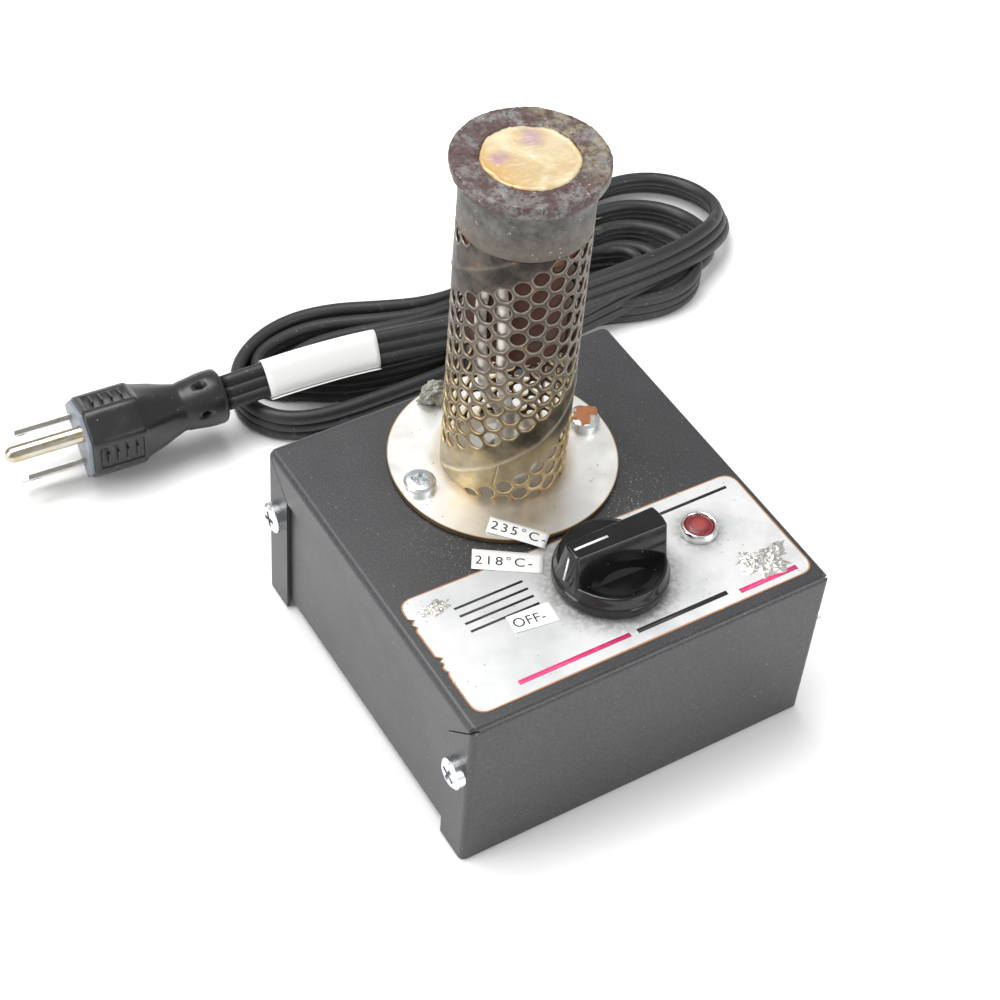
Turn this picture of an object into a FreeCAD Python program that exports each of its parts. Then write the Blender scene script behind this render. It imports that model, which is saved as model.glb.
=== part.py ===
"""Bench mini solder pot: a sheet-metal case, a perforated heat tower with a cast pot on top,
a rotary switch with its knob, a pilot lamp, the wiring inside and a flat power cord with its plug.

Millimetres. The origin is on the surface the pot stands on, under the middle of the case.
+X runs to the right along the front edge, +Y to the rear (the cord side), +Z up.
"""
import FreeCAD, Part
import Sketcher
import math
import os

Vector = FreeCAD.Vector
Rotation = FreeCAD.Rotation
UP = Vector(0, 0, 1)
RIGHT = Vector(1, 0, 0)
BACK = Vector(0, 1, 0)

DIMENSIONS = {
    # case
    "case_width": 101.6, "case_depth": 101.6, "case_height": 50.8, "sheet_gauge": 1.0,
    "bend_radius": 1.6, "foot_gap": 0.8, "flange_width": 10.3, "mitre_slit": 0.35,
    "corner_relief": 1.9, "chassis_rise": 1.7, "chassis_gap": 0.15, "chassis_end_gap": 0.3,
    "chassis_top_gap": 0.8, "foot_radius": 5.5, "foot_inset": 12.0, "foot_top_radius": 4.6,
    # pan-head screws
    "head_radius": 4.1, "head_height": 2.5, "head_crown": 0.7, "screw_radius": 2.05,
    "screw_length": 9.5, "screw_clearance": 2.2, "recess_width": 1.1, "recess_length": 4.6,
    "recess_depth": 1.3, "case_screw_inset": 5.1, "case_screw_drop": 20.1,
    # tower
    "tower_back": 20.5, "disc_radius": 29.3, "disc_gauge": 1.2, "gasket_radius": 28.6,
    "gasket_gauge": 0.5, "disc_bore": 7.2, "disc_screw_reach": 24.15, "tube_radius": 16.0,
    "tube_wall": 0.7, "tube_height": 77.0, "hole_radius": 1.96, "hole_pitch": 5.12,
    "hole_columns": 24, "hole_rows": 10, "strip_lead": 64.7, "strip_start": 23.1,
    "first_column": 238.7, "nut_across": 8.7, "nut_height": 3.2,
    # pot
    "rim_radius": 18.4, "rim_edge": 2.4, "rim_height": 17.5, "neck_height": 11.6,
    "body_radius": 15.85, "spigot_radius": 15.1, "spigot_depth": 3.0, "stem_radius": 10.4,
    "stem_depth": 36.5, "well_radius": 11.4, "well_shoulder": 8.0, "well_waist_radius": 8.8,
    "well_waist": 14.0, "well_foot_radius": 7.8, "well_depth": 48.0, "charge_drop": 0.45,
    "heater_gap": 0.1, "heater_wall": 1.6, "stud_length": 2.6, "stud_drop": 7.0, "heater_length": 31.0, "heater_top_gap": 1.0, "bushing_radius": 7.0, "bushing_bore": 3.9,
    "bushing_flange": 9.0, "bushing_rise": 2.2, "bushing_drop": 8.0,
    # switch and knob
    "switch_right": 2.4, "switch_front": 25.7, "switch_body": 27.0, "switch_depth": 17.0,
    "thread_radius": 4.75, "thread_bore": 3.06, "thread_top": 4.4, "washer_radius": 7.6,
    "washer_gauge": 0.4, "switch_nut_across": 14.0, "switch_nut_height": 2.2,
    "shaft_radius": 3.0, "shaft_top": 9.2, "shaft_drop": 7.0, "terminal_width": 4.8,
    "terminal_gauge": 0.8, "terminal_length": 8.0, "terminal_ring": 9.5,
    "knob_radius": 14.4, "knob_gap": 0.7, "skirt_height": 3.4, "dome_height": 6.3,
    "knob_height": 15.3, "bar_width": 9.6, "bar_length": 27.2,
    "bar_draft": -8.5, "knob_well_radius": 8.6, "knob_well_depth": 4.2,
    # pilot lamp
    "lamp_right": 30.3, "lamp_front": 23.2, "bezel_radius": 4.85, "bezel_height": 2.2,
    "lens_radius": 3.67, "lens_rise": 0.5, "lamp_neck_radius": 3.9, "lamp_depth": 22.0,
    "lamp_wall": 0.9, "bulb_radius": 2.2, "bulb_length": 12.0, "clip_radius": 7.0,
    "clip_gauge": 0.5, "lead_radius": 0.75,
    # label sheets
    "label_width": 96.0, "label_depth": 37.5, "label_gauge": 0.15, "label_corner": 4.0,
    "label_right": 0.6, "label_front": 28.4, "tab_length": 12.4, "tab_depth": 5.0, "tab_gauge": 0.1,
    # wiring
    "ground_left": 30.0, "ground_back": 0.0, "ground_screw_radius": 1.9, "lug_gauge": 0.8,
    "ground_head_radius": 3.4, "ground_head": 1.2, "ground_shank": 9.0, "ground_nut_across": 8.0,
    "ground_nut_height": 2.4, "lug_radius": 3.6, "lug_tail": 9.0,
    "wire_radius": 1.2, "fine_lead_radius": 0.6, "sleeve_radius": 1.4, "diode_radius": 2.7,
    "diode_length": 9.0, "diode_reach": 18.0, "diode_drop": 6.0, "cap_radius": 3.6, "cap_tip_radius": 2.6, "cap_length": 18.0,
    "cap_mouth": 30.0, "lamp_lead_offset": 1.5,
    # cord
    "cord_width": 10.0, "relief_right": 34.0, "relief_height": 12.0, "relief_flange_radius": 8.0,
    "relief_flange": 2.2, "relief_neck_radius": 6.4, "relief_boot": 17.8,
    "relief_root_radius": 6.9, "relief_tip_radius": 5.7, "relief_inside": 5.0,
    "jacket_stub": 9.0, "low_hank_height": 10.0, "high_hank_height": 20.0,
    "hank_step": 60.0, "hank_front": 88.5, "hank_bite": 1.5, "wrap_start": 8.0, "wrap_length": 36.0, "wrap_gap": 0.35, "wrap_gauge": 0.3,
    # plug
    "plug_yaw": 174.0, "plug_pitch": 2.6, "plug_roll": -38.4, "plug_left": 77.75,
    "plug_back": 113.63, "plug_height": 10.82, "plug_width": 22.6, "plug_thickness": 20.0,
    "plug_grip": 16.5, "plug_neck": 31.0, "plug_length": 41.5, "neck_width": 13.6,
    "neck_thickness": 12.8, "collar_radius": 7.9, "blade_reach": 18.0, "blade_width": 6.35, "blade_gauge": 1.5,
    "blade_spacing": 12.7, "pin_reach": 21.7, "pin_radius": 2.3, "pin_offset": 11.9,
    "axis_offset": 4.0, "pin_root": 6.0, "face_gauge": 1.2, "straight_tail": 48.0,
}

doc = FreeCAD.newDocument("MiniSolderPot")
sheet = doc.addObject("Spreadsheet::Sheet", "Dimensions")
for row, (alias, number) in enumerate(DIMENSIONS.items(), start=1):
    sheet.set("A%d" % row, alias)
    sheet.set("B%d" % row, str(number))
    sheet.setAlias("B%d" % row, alias)
doc.recompute()

NODES = []


def value(text):
    """The number that a sum such as "foot_gap + case_height - 2*sheet_gauge" comes to."""
    total = 0.0
    sign = 1.0
    for word in str(text).split():
        if word in "+-":
            sign = 1.0 if word == "+" else -1.0
            continue
        factor, _, name = word.rpartition("*")
        name, _, divisor = name.partition("/")
        number = float(sheet.get(name)) if name in DIMENSIONS else float(name)
        total += sign * number * float(factor or 1) / float(divisor or 1)
    return total


def bound(text):
    """The same sum written as an expression on the spreadsheet."""
    words = []
    for word in str(text).split():
        factor, star, name = word.rpartition("*")
        name, slash, divisor = name.partition("/")
        cell = "Dimensions." + name if name in DIMENSIONS else name
        words.append(factor + star + cell + slash + divisor)
    return " ".join(words)


def node(item, label):
    """Keep a finished sub-part: its label becomes the name of its file."""
    item.Label = label
    NODES.append(item)
    return item


def bind(item, **sums):
    """Bind properties of an object to sums of the sheet's cells."""
    for name, text in sums.items():
        item.setExpression(name, bound(text))
    return item


def place(item, x="0", y="0", z="0", rotation=None):
    """Put an object at a point given by three sums of the sheet's cells."""
    item.Placement = FreeCAD.Placement(Vector(value(x), value(y), value(z)), rotation or Rotation())
    for axis, text in (("x", x), ("y", y), ("z", z)):
        item.setExpression("Placement.Base." + axis, bound(text))
    return item


def cylinder(radius, height, x="0", y="0", z="0", rotation=None):
    item = doc.addObject("Part::Cylinder", "Cylinder")
    return place(bind(item, Radius=radius, Height=height), x, y, z, rotation)


def cone(low_radius, high_radius, height, x="0", y="0", z="0", rotation=None):
    item = doc.addObject("Part::Cone", "Cone")
    return place(bind(item, Radius1=low_radius, Radius2=high_radius, Height=height), x, y, z, rotation)


def block(length, width, height, x="0", y="0", z="0", rotation=None):
    """A box with its lowest corner at the point."""
    item = doc.addObject("Part::Box", "Block")
    return place(bind(item, Length=length, Width=width, Height=height), x, y, z, rotation)


def hexagon(across, height, x="0", y="0", z="0"):
    """A hexagonal prism; across is the distance over its corners."""
    item = doc.addObject("Part::Prism", "Hexagon")
    item.Polygon = 6
    return place(bind(item, Circumradius=across + "/2", Height=height), x, y, z)


def ball(radius, x, y, z):
    item = doc.addObject("Part::Sphere", "Ball")
    return place(bind(item, Radius=radius), x, y, z)


def fuse(*items):
    item = doc.addObject("Part::MultiFuse", "Joined")
    item.Shapes = list(items)
    return item


def cut(base, *tools):
    item = doc.addObject("Part::Cut", "Trimmed")
    item.Base = base
    item.Tool = tools[0] if len(tools) == 1 else fuse(*tools)
    return item


def solid_feature(label, shape):
    """A sub-part whose shape comes straight from Part's own functions."""
    item = doc.addObject("Part::Feature", label)
    item.Shape = shape
    return node(item, label)


def copies(label, master, placements):
    """Identical pieces, such as a set of screws, kept in one node as separate solids."""
    doc.recompute()
    solids = []
    for placement in placements:
        piece = master.Shape.copy()
        piece.Placement = placement
        solids.append(piece)
    return solid_feature(label, Part.makeCompound(solids))


# ---- PartDesign helpers ----------------------------------------------------------------------

def new_body(name):
    return doc.addObject("PartDesign::Body", name)


def sketch_on(body, role, name):
    """A sketch on one of the body's own origin planes."""
    sketch = body.newObject("Sketcher::SketchObject", name)
    plane = [item for item in body.Origin.OriginFeatures if item.Role == role][0]
    sketch.AttachmentSupport = [(plane, "")]
    sketch.MapMode = "FlatFace"
    return sketch


def pin_point(sketch, geometry, vertex, x, y):
    """Fix a vertex of a sketch at (x, y), both bound to the sheet."""
    for kind, text in (("DistanceX", x), ("DistanceY", y)):
        number = value(text)
        if abs(number) < 1e-9:
            other = -2 if kind == "DistanceX" else -1
            sketch.addConstraint(Sketcher.Constraint("PointOnObject", geometry, vertex, other))
            continue
        index = sketch.addConstraint(Sketcher.Constraint(kind, -1, 1, geometry, vertex, number))
        sketch.setExpression("Constraints[%d]" % index, bound(text))


def outline(sketch, points):
    """A closed outline of straight lines through points, each a pair of sums."""
    numbers = [Vector(value(x), value(y), 0) for x, y in points]
    first = sketch.GeometryCount
    for start, end in zip(numbers, numbers[1:] + numbers[:1]):
        sketch.addGeometry(Part.LineSegment(start, end), False)
    for index in range(len(points)):
        after = first + (index + 1) % len(points)
        sketch.addConstraint(Sketcher.Constraint("Coincident", first + index, 2, after, 1))
    for index, (x, y) in enumerate(points):
        pin_point(sketch, first + index, 1, x, y)


def circle(sketch, radius, x="0", y="0"):
    """A circle with its radius and centre bound to the sheet."""
    centre = Vector(value(x), value(y), 0)
    index = sketch.addGeometry(Part.Circle(centre, UP, value(radius)), False)
    size = sketch.addConstraint(Sketcher.Constraint("Radius", index, value(radius)))
    sketch.setExpression("Constraints[%d]" % size, bound(radius))
    if abs(centre.x) + abs(centre.y) < 1e-9:
        sketch.addConstraint(Sketcher.Constraint("Coincident", index, 3, -1, 1))
    else:
        pin_point(sketch, index, 3, x, y)


def pad(body, sketch, length, midplane=False):
    item = body.newObject("PartDesign::Pad", "Pad")
    item.Profile = sketch
    item.Midplane = midplane
    item.setExpression("Length", bound(length))
    return item


def pocket(body, sketch, length, midplane=True):
    """A pocket; the volume must drop, or it points away from the solid."""
    doc.recompute()
    before = body.Shape.Volume
    item = body.newObject("PartDesign::Pocket", "Pocket")
    item.Profile = sketch
    item.Midplane = midplane
    item.setExpression("Length", bound(length))
    doc.recompute()
    if item.Shape.Volume >= before:
        raise RuntimeError(body.Name + ": a pocket removes nothing")
    return item


def revolved(name, points):
    """A body turned about Z from an outline of (radius, height) points."""
    body = new_body(name)
    sketch = sketch_on(body, "XZ_Plane", name + "Profile")
    outline(sketch, points)
    item = body.newObject("PartDesign::Revolution", "Revolution")
    item.Profile = sketch
    item.ReferenceAxis = (sketch, ["V_Axis"])
    item.Angle = 360
    return body


def edges_where(shape, test):
    """Names of the edges whose middle point passes a test."""
    names = []
    for index, edge in enumerate(shape.Edges, start=1):
        middle = edge.valueAt((edge.FirstParameter + edge.LastParameter) / 2)
        if test(middle):
            names.append("Edge%d" % index)
    return names


def faces_where(shape, test):
    return ["Face%d" % index for index, face in enumerate(shape.Faces, start=1) if test(face.CenterOfMass)]


def round_edges(body, radius, test):
    """A fillet on the edges of the body's last feature that pass a test."""
    doc.recompute()
    tip = body.Tip
    item = body.newObject("PartDesign::Fillet", "Fillet")
    item.Base = (tip, edges_where(tip.Shape, test))
    item.setExpression("Radius", bound(radius))
    doc.recompute()
    return item


def hollow(body, wall, test):
    """Shell the body inwards, open at the faces that pass a test."""
    tip = body.Tip
    item = body.newObject("PartDesign::Thickness", "Shell")
    item.Base = (tip, faces_where(tip.Shape, test))
    item.setExpression("Value", bound(wall))
    item.Reversed = True
    item.Mode = 0
    item.Join = 0
    doc.recompute()
    return item


# ---- routed tubes: straight runs joined by tangent arcs --------------------------------------

def corner_arc(before, corner, after, tight):
    """The tangent arc at a corner of a route, and where it starts and ends."""
    incoming = (corner - before)
    outgoing = (after - corner)
    shorter = min(incoming.Length, outgoing.Length)
    incoming.normalize()
    outgoing.normalize()
    turn = incoming.getAngle(outgoing)
    radius = 0.45 * shorter / math.tan(turn / 2)
    if tight:
        radius = min(radius, tight)
    reach = radius * math.tan(turn / 2)
    start = corner - incoming * reach
    end = corner + outgoing * reach
    inward = outgoing - incoming
    inward.normalize()
    middle = corner + inward * (radius / math.cos(turn / 2) - radius)
    return Part.Arc(start, middle, end).toShape(), start, end, radius


def route_wire(points, tight=None):
    """A wire along the points, and the radii of its arcs."""
    edges = []
    radii = []
    here = points[0]
    for before, corner, after in zip(points, points[1:], points[2:]):
        arc, start, end, radius = corner_arc(before, corner, after, tight)
        edges += [Part.LineSegment(here, start).toShape(), arc]
        radii.append(radius)
        here = end
    edges.append(Part.LineSegment(here, points[-1]).toShape())
    return Part.Wire(edges), radii


def routed_tube(points, radius, tight=None):
    """A round solid swept along a route, with its radii and its length."""
    wire, radii = route_wire(points, tight)
    profile = Part.Wire(Part.Circle(points[0], points[1] - points[0], radius).toShape())
    tube = wire.makePipeShell([profile], True, False)
    expected = math.pi * radius ** 2 * wire.Length
    if abs(tube.Volume - expected) > 0.02 * expected:
        raise RuntimeError("a routed tube has the wrong volume")
    return tube, radii, wire.Length


# Heights that many pieces share, as sums of the sheet's cells.
DECK = "foot_gap + case_height"
CEILING = DECK + " - sheet_gauge"
DISC_TOP = DECK + " + gasket_gauge + disc_gauge"
SEAT = DISC_TOP + " + tube_height"
LABEL_TOP = DECK + " + label_gauge"
FLOOR_PLATE = "foot_gap + chassis_rise"

# The heater's two studs, as angles round the tower's axis.
TERMINAL_ANGLES = (-142, -158)

# Columns of holes in one stave of the perforated tube.
STAVE_COLUMNS = 2

# Corner of each paper tab and its turn, and the two crimp caps' places, in plan.
TAB_PLACES = {"high": (-17.7, -0.6, -45.0), "low": (-26.0, -8.0, -33.0), "off": (-26.9, -30.5, 2.0)}
CAP_PLACES = {"neutral": (-24, 24), "heater": (-34, 22)}


# ---- case ------------------------------------------------------------------------------------

def screw_spots():
    """Where the four case screws sit: the side (-1 left, 1 right) and the end (-1 front, 1 rear)."""
    return [(side, end) for side in (-1, 1) for end in (-1, 1)]


def enclosure_cover():
    """Top, front and rear in one folded sheet, with side flanges and tabs mitred at the corners."""
    body = new_body("CoverSheet")
    base = sketch_on(body, "XY_Plane", "CoverOutline")
    half_x = "case_width/2"
    half_y = "case_depth/2"
    outline(base, [("- " + half_x, "- " + half_y), (half_x, "- " + half_y),
                   (half_x, half_y), ("- " + half_x, half_y)])
    base.setExpression("AttachmentOffset.Base.z", bound("foot_gap"))
    pad(body, base, "case_height")
    low = value("foot_gap")
    round_edges(body, "bend_radius", lambda middle: middle.z > low + 1)
    hollow(body, "sheet_gauge", lambda face: face.z < low + 0.01)
    window = sketch_on(body, "YZ_Plane", "SideWindow")
    front = "- case_depth/2 + flange_width"
    rear = "case_depth/2 - flange_width"
    top = DECK + " - flange_width"
    outline(window, [(front, "0"), (rear, "0"), (rear, top), (front, top)])
    pocket(body, window, "2*case_width")
    holes = sketch_on(body, "XY_Plane", "TopHoles")
    circle(holes, "thread_radius", "switch_right", "- switch_front")
    circle(holes, "lamp_neck_radius", "lamp_right", "- lamp_front")
    circle(holes, "disc_bore", "0", "tower_back")
    for side in ("", "- "):
        circle(holes, "screw_clearance", side + "disc_screw_reach", "tower_back")
    pocket(body, holes, "4*case_height")
    tools = []
    for side, end in screw_spots():
        x = "case_width/2" if side > 0 else "- case_width/2"
        y = "case_depth/2" if end > 0 else "- case_depth/2"
        tools.append(ball("corner_relief", x, y, DECK))
        tools.append(mitre_blade(side, end, x, y))
    for end in ("- case_depth/2 + case_screw_inset", "case_depth/2 - case_screw_inset"):
        tools.append(cylinder("screw_clearance", "2*case_width", "- case_width", end,
                              DECK + " - case_screw_drop", Rotation(BACK, 90)))
    tools.append(cylinder("relief_neck_radius", "4*sheet_gauge", "relief_right",
                          "case_depth/2 - 2*sheet_gauge", "relief_height", Rotation(RIGHT, -90)))
    return node(cut(body, *tools), "enclosure_cover")


def mitre_blade(side, end, x, y):
    """The thin slit between a side flange and a tab, from the corner down at 45 degrees."""
    blade = doc.addObject("Part::Box", "MitreBlade")
    bind(blade, Length="4*sheet_gauge", Width="mitre_slit", Height="1.5*flange_width")
    turn = Rotation(RIGHT, 180 - 45 * end)
    blade.Placement = FreeCAD.Placement(
        Vector(value(x) - value("2*sheet_gauge"), value(y), value(DECK)), turn)
    return blade


def base_chassis():
    """The inner U: the bottom plate and the two side walls the case screws bite into."""
    body = new_body("ChassisSheet")
    base = sketch_on(body, "XY_Plane", "ChassisOutline")
    half_x = "case_width/2 - sheet_gauge - chassis_gap"
    half_y = "case_depth/2 - sheet_gauge - chassis_end_gap"
    minus_x = "- case_width/2 + sheet_gauge + chassis_gap"
    minus_y = "- case_depth/2 + sheet_gauge + chassis_end_gap"
    outline(base, [(minus_x, minus_y), (half_x, minus_y), (half_x, half_y), (minus_x, half_y)])
    base.setExpression("AttachmentOffset.Base.z", bound(FLOOR_PLATE))
    pad(body, base, "case_height - chassis_rise - sheet_gauge - chassis_top_gap")
    low = value(FLOOR_PLATE)
    side = value(half_x)
    round_edges(body, "bend_radius", lambda middle: middle.z < low + 0.01 and abs(middle.x) > side - 0.01)
    hollow(body, "sheet_gauge", lambda face: face.z > low + 30 or abs(face.y) > value(half_y) - 0.01)
    tools = []
    for end in ("- case_depth/2 + case_screw_inset", "case_depth/2 - case_screw_inset"):
        tools.append(cylinder("screw_radius", "2*case_width", "- case_width", end,
                              DECK + " - case_screw_drop", Rotation(BACK, 90)))
    tools.append(cylinder("ground_screw_radius", "8*sheet_gauge", "- ground_left", "ground_back",
                          FLOOR_PLATE + " - 2*sheet_gauge"))
    return node(cut(body, *tools), "base_chassis")


def rubber_feet():
    """Four stick-on bumpers under the bottom plate."""
    bumper = revolved("Bumper", [("0", "0"), ("foot_radius", "0"), ("foot_top_radius", FLOOR_PLATE),
                                 ("0", FLOOR_PLATE)])
    spots = [FreeCAD.Placement(Vector(side * value("case_width/2 - foot_inset"),
                                      end * value("case_depth/2 - foot_inset"), 0), Rotation())
             for side, end in screw_spots()]
    return copies("rubber_feet", bumper, spots)


def pan_head_screw():
    """A cross-recess pan-head screw: the head stands on z = 0 and the shank goes down."""
    tip = "- screw_length"
    shank = "- screw_length + 1.5"
    turned = revolved("PanScrew", [("0", tip), ("screw_radius/2", tip), ("screw_radius", shank),
                                   ("screw_radius", "0"), ("head_radius", "0"),
                                   ("head_radius", "head_height - head_crown"),
                                   ("head_radius - head_crown", "head_height - 0.2"),
                                   ("head_radius/2", "head_height"), ("0", "head_height")])
    floor = "head_height - recess_depth"
    arms = [block("recess_length", "recess_width", "2*recess_depth", "- recess_length/2",
                  "- recess_width/2", floor),
            block("recess_width", "recess_length", "2*recess_depth", "- recess_width/2",
                  "- recess_length/2", floor)]
    return cut(turned, *arms)


def case_screws(screw):
    """Four screws through the tabs into the chassis walls."""
    spots = []
    for side, end in screw_spots():
        place_at = Vector(side * value("case_width/2"), end * value("case_depth/2 - case_screw_inset"),
                          value(DECK + " - case_screw_drop"))
        spin = Rotation(UP, 20 * end)
        spots.append(FreeCAD.Placement(place_at, Rotation(BACK, 90 * side) * spin))
    return copies("case_screws", screw, spots)


# ---- tower -----------------------------------------------------------------------------------

def disc_sheet(name, radius, gauge, floor):
    """A round sheet with the tower's bore and its two screw holes."""
    body = new_body(name)
    sketch = sketch_on(body, "XY_Plane", name + "Outline")
    circle(sketch, radius, "0", "tower_back")
    circle(sketch, "disc_bore", "0", "tower_back")
    for side in ("", "- "):
        circle(sketch, "screw_clearance", side + "disc_screw_reach", "tower_back")
    sketch.setExpression("AttachmentOffset.Base.z", bound(floor))
    pad(body, sketch, gauge)
    return body


def flange_gasket():
    return node(disc_sheet("Gasket", "gasket_radius", "gasket_gauge", DECK), "flange_gasket")


def tower_flange():
    return node(disc_sheet("Disc", "disc_radius", "disc_gauge", DECK + " + gasket_gauge"), "tower_flange")


def flange_spots(height):
    return [FreeCAD.Placement(Vector(side * value("disc_screw_reach"), value("tower_back"), height),
                              Rotation(UP, 35 * side)) for side in (-1, 1)]


def flange_screws(screw):
    return copies("flange_screws", screw, flange_spots(value(DISC_TOP)))


def flange_nuts():
    """Hex nuts on the flange screws, under the top of the case."""
    nut = cut(hexagon("nut_across", "nut_height"), cylinder("screw_radius", "nut_height"))
    return copies("flange_nuts", nut, flange_spots(value(CEILING + " - nut_height")))


def hole_spots(column):
    """Height of every perforation in one column; rows climb with the spiral strip."""
    spots = []
    edge = value("hole_radius") - 0.35
    for turn in (-1, 0, 1):
        climb = value("strip_lead") * (turn + column / value("hole_columns"))
        for row in range(int(value("hole_rows"))):
            height = value("strip_start") + climb + row * value("hole_pitch")
            if -edge < height < value("tube_height") + edge:
                spots.append(height)
    return spots


def tube_stave(first_column, columns):
    """An upright stave of the tube with whole columns of holes; it ends midway between columns."""
    outer, tall = value("tube_radius"), value("tube_height")
    step = 360 / value("hole_columns")
    wall = Part.makeCylinder(outer, tall, Vector(0, 0, 0), UP, columns * step)
    wall = wall.cut(Part.makeCylinder(outer - value("tube_wall"), tall))
    wall.Placement = FreeCAD.Placement(Vector(0, 0, 0),
                                       Rotation(UP, value("first_column") + (first_column - 0.5) * step))
    punches = []
    for column in range(first_column, first_column + columns):
        facing = around(value("first_column") + column * step)
        for height in hole_spots(column):
            start = facing * (outer - 3 * value("tube_wall")) + UP * height
            punches.append(Part.makeCylinder(value("hole_radius"), 6 * value("tube_wall"), start, facing))
    stave = wall.cut(Part.makeCompound(punches))
    if len(stave.Solids) != 1:
        raise RuntimeError("a stave of the perforated tube fell apart")
    return stave.Solids[0]


def perforated_tube():
    """Spiral-wound perforated tube; a plain band with the weld seam winds round it once."""
    staves = [tube_stave(first, STAVE_COLUMNS)
              for first in range(0, int(value("hole_columns")), STAVE_COLUMNS)]
    item = solid_feature("perforated_tube", Part.makeCompound(staves))
    return place(item, "0", "tower_back", DISC_TOP)


def crucible():
    """The cast pot: a broad rim, a body that stands on the tube and a stem inside it."""
    rim = "rim_height"
    body = revolved("Pot", [("0", "- stem_depth"), ("stem_radius", "- stem_depth"),
                            ("stem_radius", "- spigot_depth"), ("spigot_radius", "- spigot_depth"),
                            ("spigot_radius", "0"), ("body_radius", "0"),
                            ("body_radius", "neck_height"), ("rim_radius", rim + " - rim_edge"),
                            ("rim_radius", rim), ("well_radius", rim),
                            ("well_radius", rim + " - well_shoulder"),
                            ("well_waist_radius", rim + " - well_waist"),
                            ("well_foot_radius", rim + " - well_depth"), ("0", rim + " - well_depth")])
    return node(place(body, "0", "tower_back", SEAT), "crucible")


def solder_charge():
    """The frozen solder that fills the well almost to the rim."""
    rim = "rim_height"
    body = revolved("Charge", [("0", rim + " - well_depth"), ("well_foot_radius", rim + " - well_depth"),
                               ("well_waist_radius", rim + " - well_waist"),
                               ("well_radius", rim + " - well_shoulder"),
                               ("well_radius", rim + " - charge_drop"), ("0", rim + " - charge_drop")])
    return node(place(body, "0", "tower_back", SEAT), "solder_charge")


def heater_band():
    """A mica band heater in a steel jacket, clamped round the pot's stem."""
    inner = "stem_radius + heater_gap"
    outer = inner + " + heater_wall"
    top = "- spigot_depth - heater_top_gap"
    low = top + " - heater_length"
    body = revolved("Heater", [(inner, low), (outer, low), (outer, top), (inner, top)])
    return node(place(body, "0", "tower_back", SEAT), "heater_band")


def around(angle):
    """The level direction at an angle round the tower."""
    return Vector(math.cos(math.radians(angle)), math.sin(math.radians(angle)), 0)


def tower_point(radius, angle, height):
    """A point given round the tower's axis."""
    return around(angle) * radius + BACK * value("tower_back") + UP * height


def heater_routes():
    """The two heater leads: down beside the stem, in to the bushing and into the case."""
    beside = value("stem_radius + heater_gap + heater_wall + sleeve_radius") + 0.15
    seat = value(SEAT)
    deck = value(DECK)
    first = [tower_point(beside, -142, seat - 9), tower_point(beside, -136, seat - 21),
             tower_point(beside, -134, seat - 38), tower_point(8.5, -128, seat - 50),
             Vector(0, value("tower_back") - 1.75, deck + 15),
             Vector(0, value("tower_back") - 1.75, deck - 13),
             Vector(-3, value("tower_back") - 4, deck - 22)]
    second = [tower_point(beside, -158, seat - 10), tower_point(beside, -163, seat - 20),
              tower_point(beside, -154, seat - 38), tower_point(9, -162, seat - 50),
              Vector(0, value("tower_back") + 1.75, deck + 16),
              Vector(0, value("tower_back") + 1.75, deck - 13),
              Vector(-4, value("tower_back") + 4, deck - 22)]
    return first, second


def heater_leads():
    """Bare nickel leads from the band's terminals into the case."""
    tubes = [routed_tube(route, value("fine_lead_radius"))[0] for route in heater_routes()]
    return solid_feature("heater_leads", Part.makeCompound(tubes))


def lead_sleeves():
    """Woven glass sleeves over the heater leads."""
    sleeves = []
    for route in heater_routes():
        outer = routed_tube(route, value("sleeve_radius"))[0]
        bore = routed_tube(route, value("fine_lead_radius"))[0]
        sleeves.append(outer.cut(bore))
    return solid_feature("lead_sleeves", Part.makeCompound(sleeves))


def heater_terminals():
    """Two studs on the band, each just above its lead."""
    outer = value("stem_radius + heater_gap + heater_wall")
    height = value(SEAT + " - stud_drop")
    band = Part.makeCylinder(outer, value("stem_depth"), tower_point(0, 0, height - value("stem_depth/2")))
    studs = []
    for angle in TERMINAL_ANGLES:
        start = tower_point(outer - value("heater_gap"), angle, height)
        stud = Part.makeCylinder(value("sleeve_radius"), value("stud_length"), start, around(angle))
        studs.append(stud.cut(band))
    return solid_feature("heater_terminals", Part.makeCompound(studs))


def tower_bushing():
    """The ceramic bushing that carries the leads through the flange and the case top."""
    low = "- sheet_gauge - bushing_drop"
    top = "gasket_gauge + disc_gauge"
    body = revolved("Bushing", [("bushing_bore", low), ("bushing_radius", low), ("bushing_radius", top),
                                ("bushing_flange", top), ("bushing_flange", top + " + bushing_rise"),
                                ("bushing_bore", top + " + bushing_rise")])
    return node(place(body, "0", "tower_back", DECK), "tower_bushing")


# ---- switch and knob -------------------------------------------------------------------------

def at_switch(item, height):
    """Centre an object on the switch's axis at a height."""
    return place(item, "switch_right", "- switch_front", height)


def switch_body():
    """The moulded rotary switch, its back plate and its threaded bushing in one housing."""
    housing = block("switch_body", "switch_body", "switch_depth", "switch_right - switch_body/2",
                    "- switch_front - switch_body/2", CEILING + " - switch_depth")
    thread = at_switch(cylinder("thread_radius", "sheet_gauge + thread_top"), CEILING)
    well = at_switch(cylinder("thread_bore", "2*switch_depth"), CEILING + " - shaft_drop - 0.3")
    return node(cut(fuse(housing, thread), well), "switch_body")


def switch_washer():
    ring = cut(cylinder("washer_radius", "washer_gauge"), cylinder("thread_radius + 0.05", "washer_gauge"))
    return node(at_switch(ring, LABEL_TOP), "switch_washer")


def switch_nut():
    nut = cut(hexagon("switch_nut_across", "switch_nut_height"),
              cylinder("thread_radius", "switch_nut_height"))
    return node(at_switch(nut, LABEL_TOP + " + washer_gauge"), "switch_nut")


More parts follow.
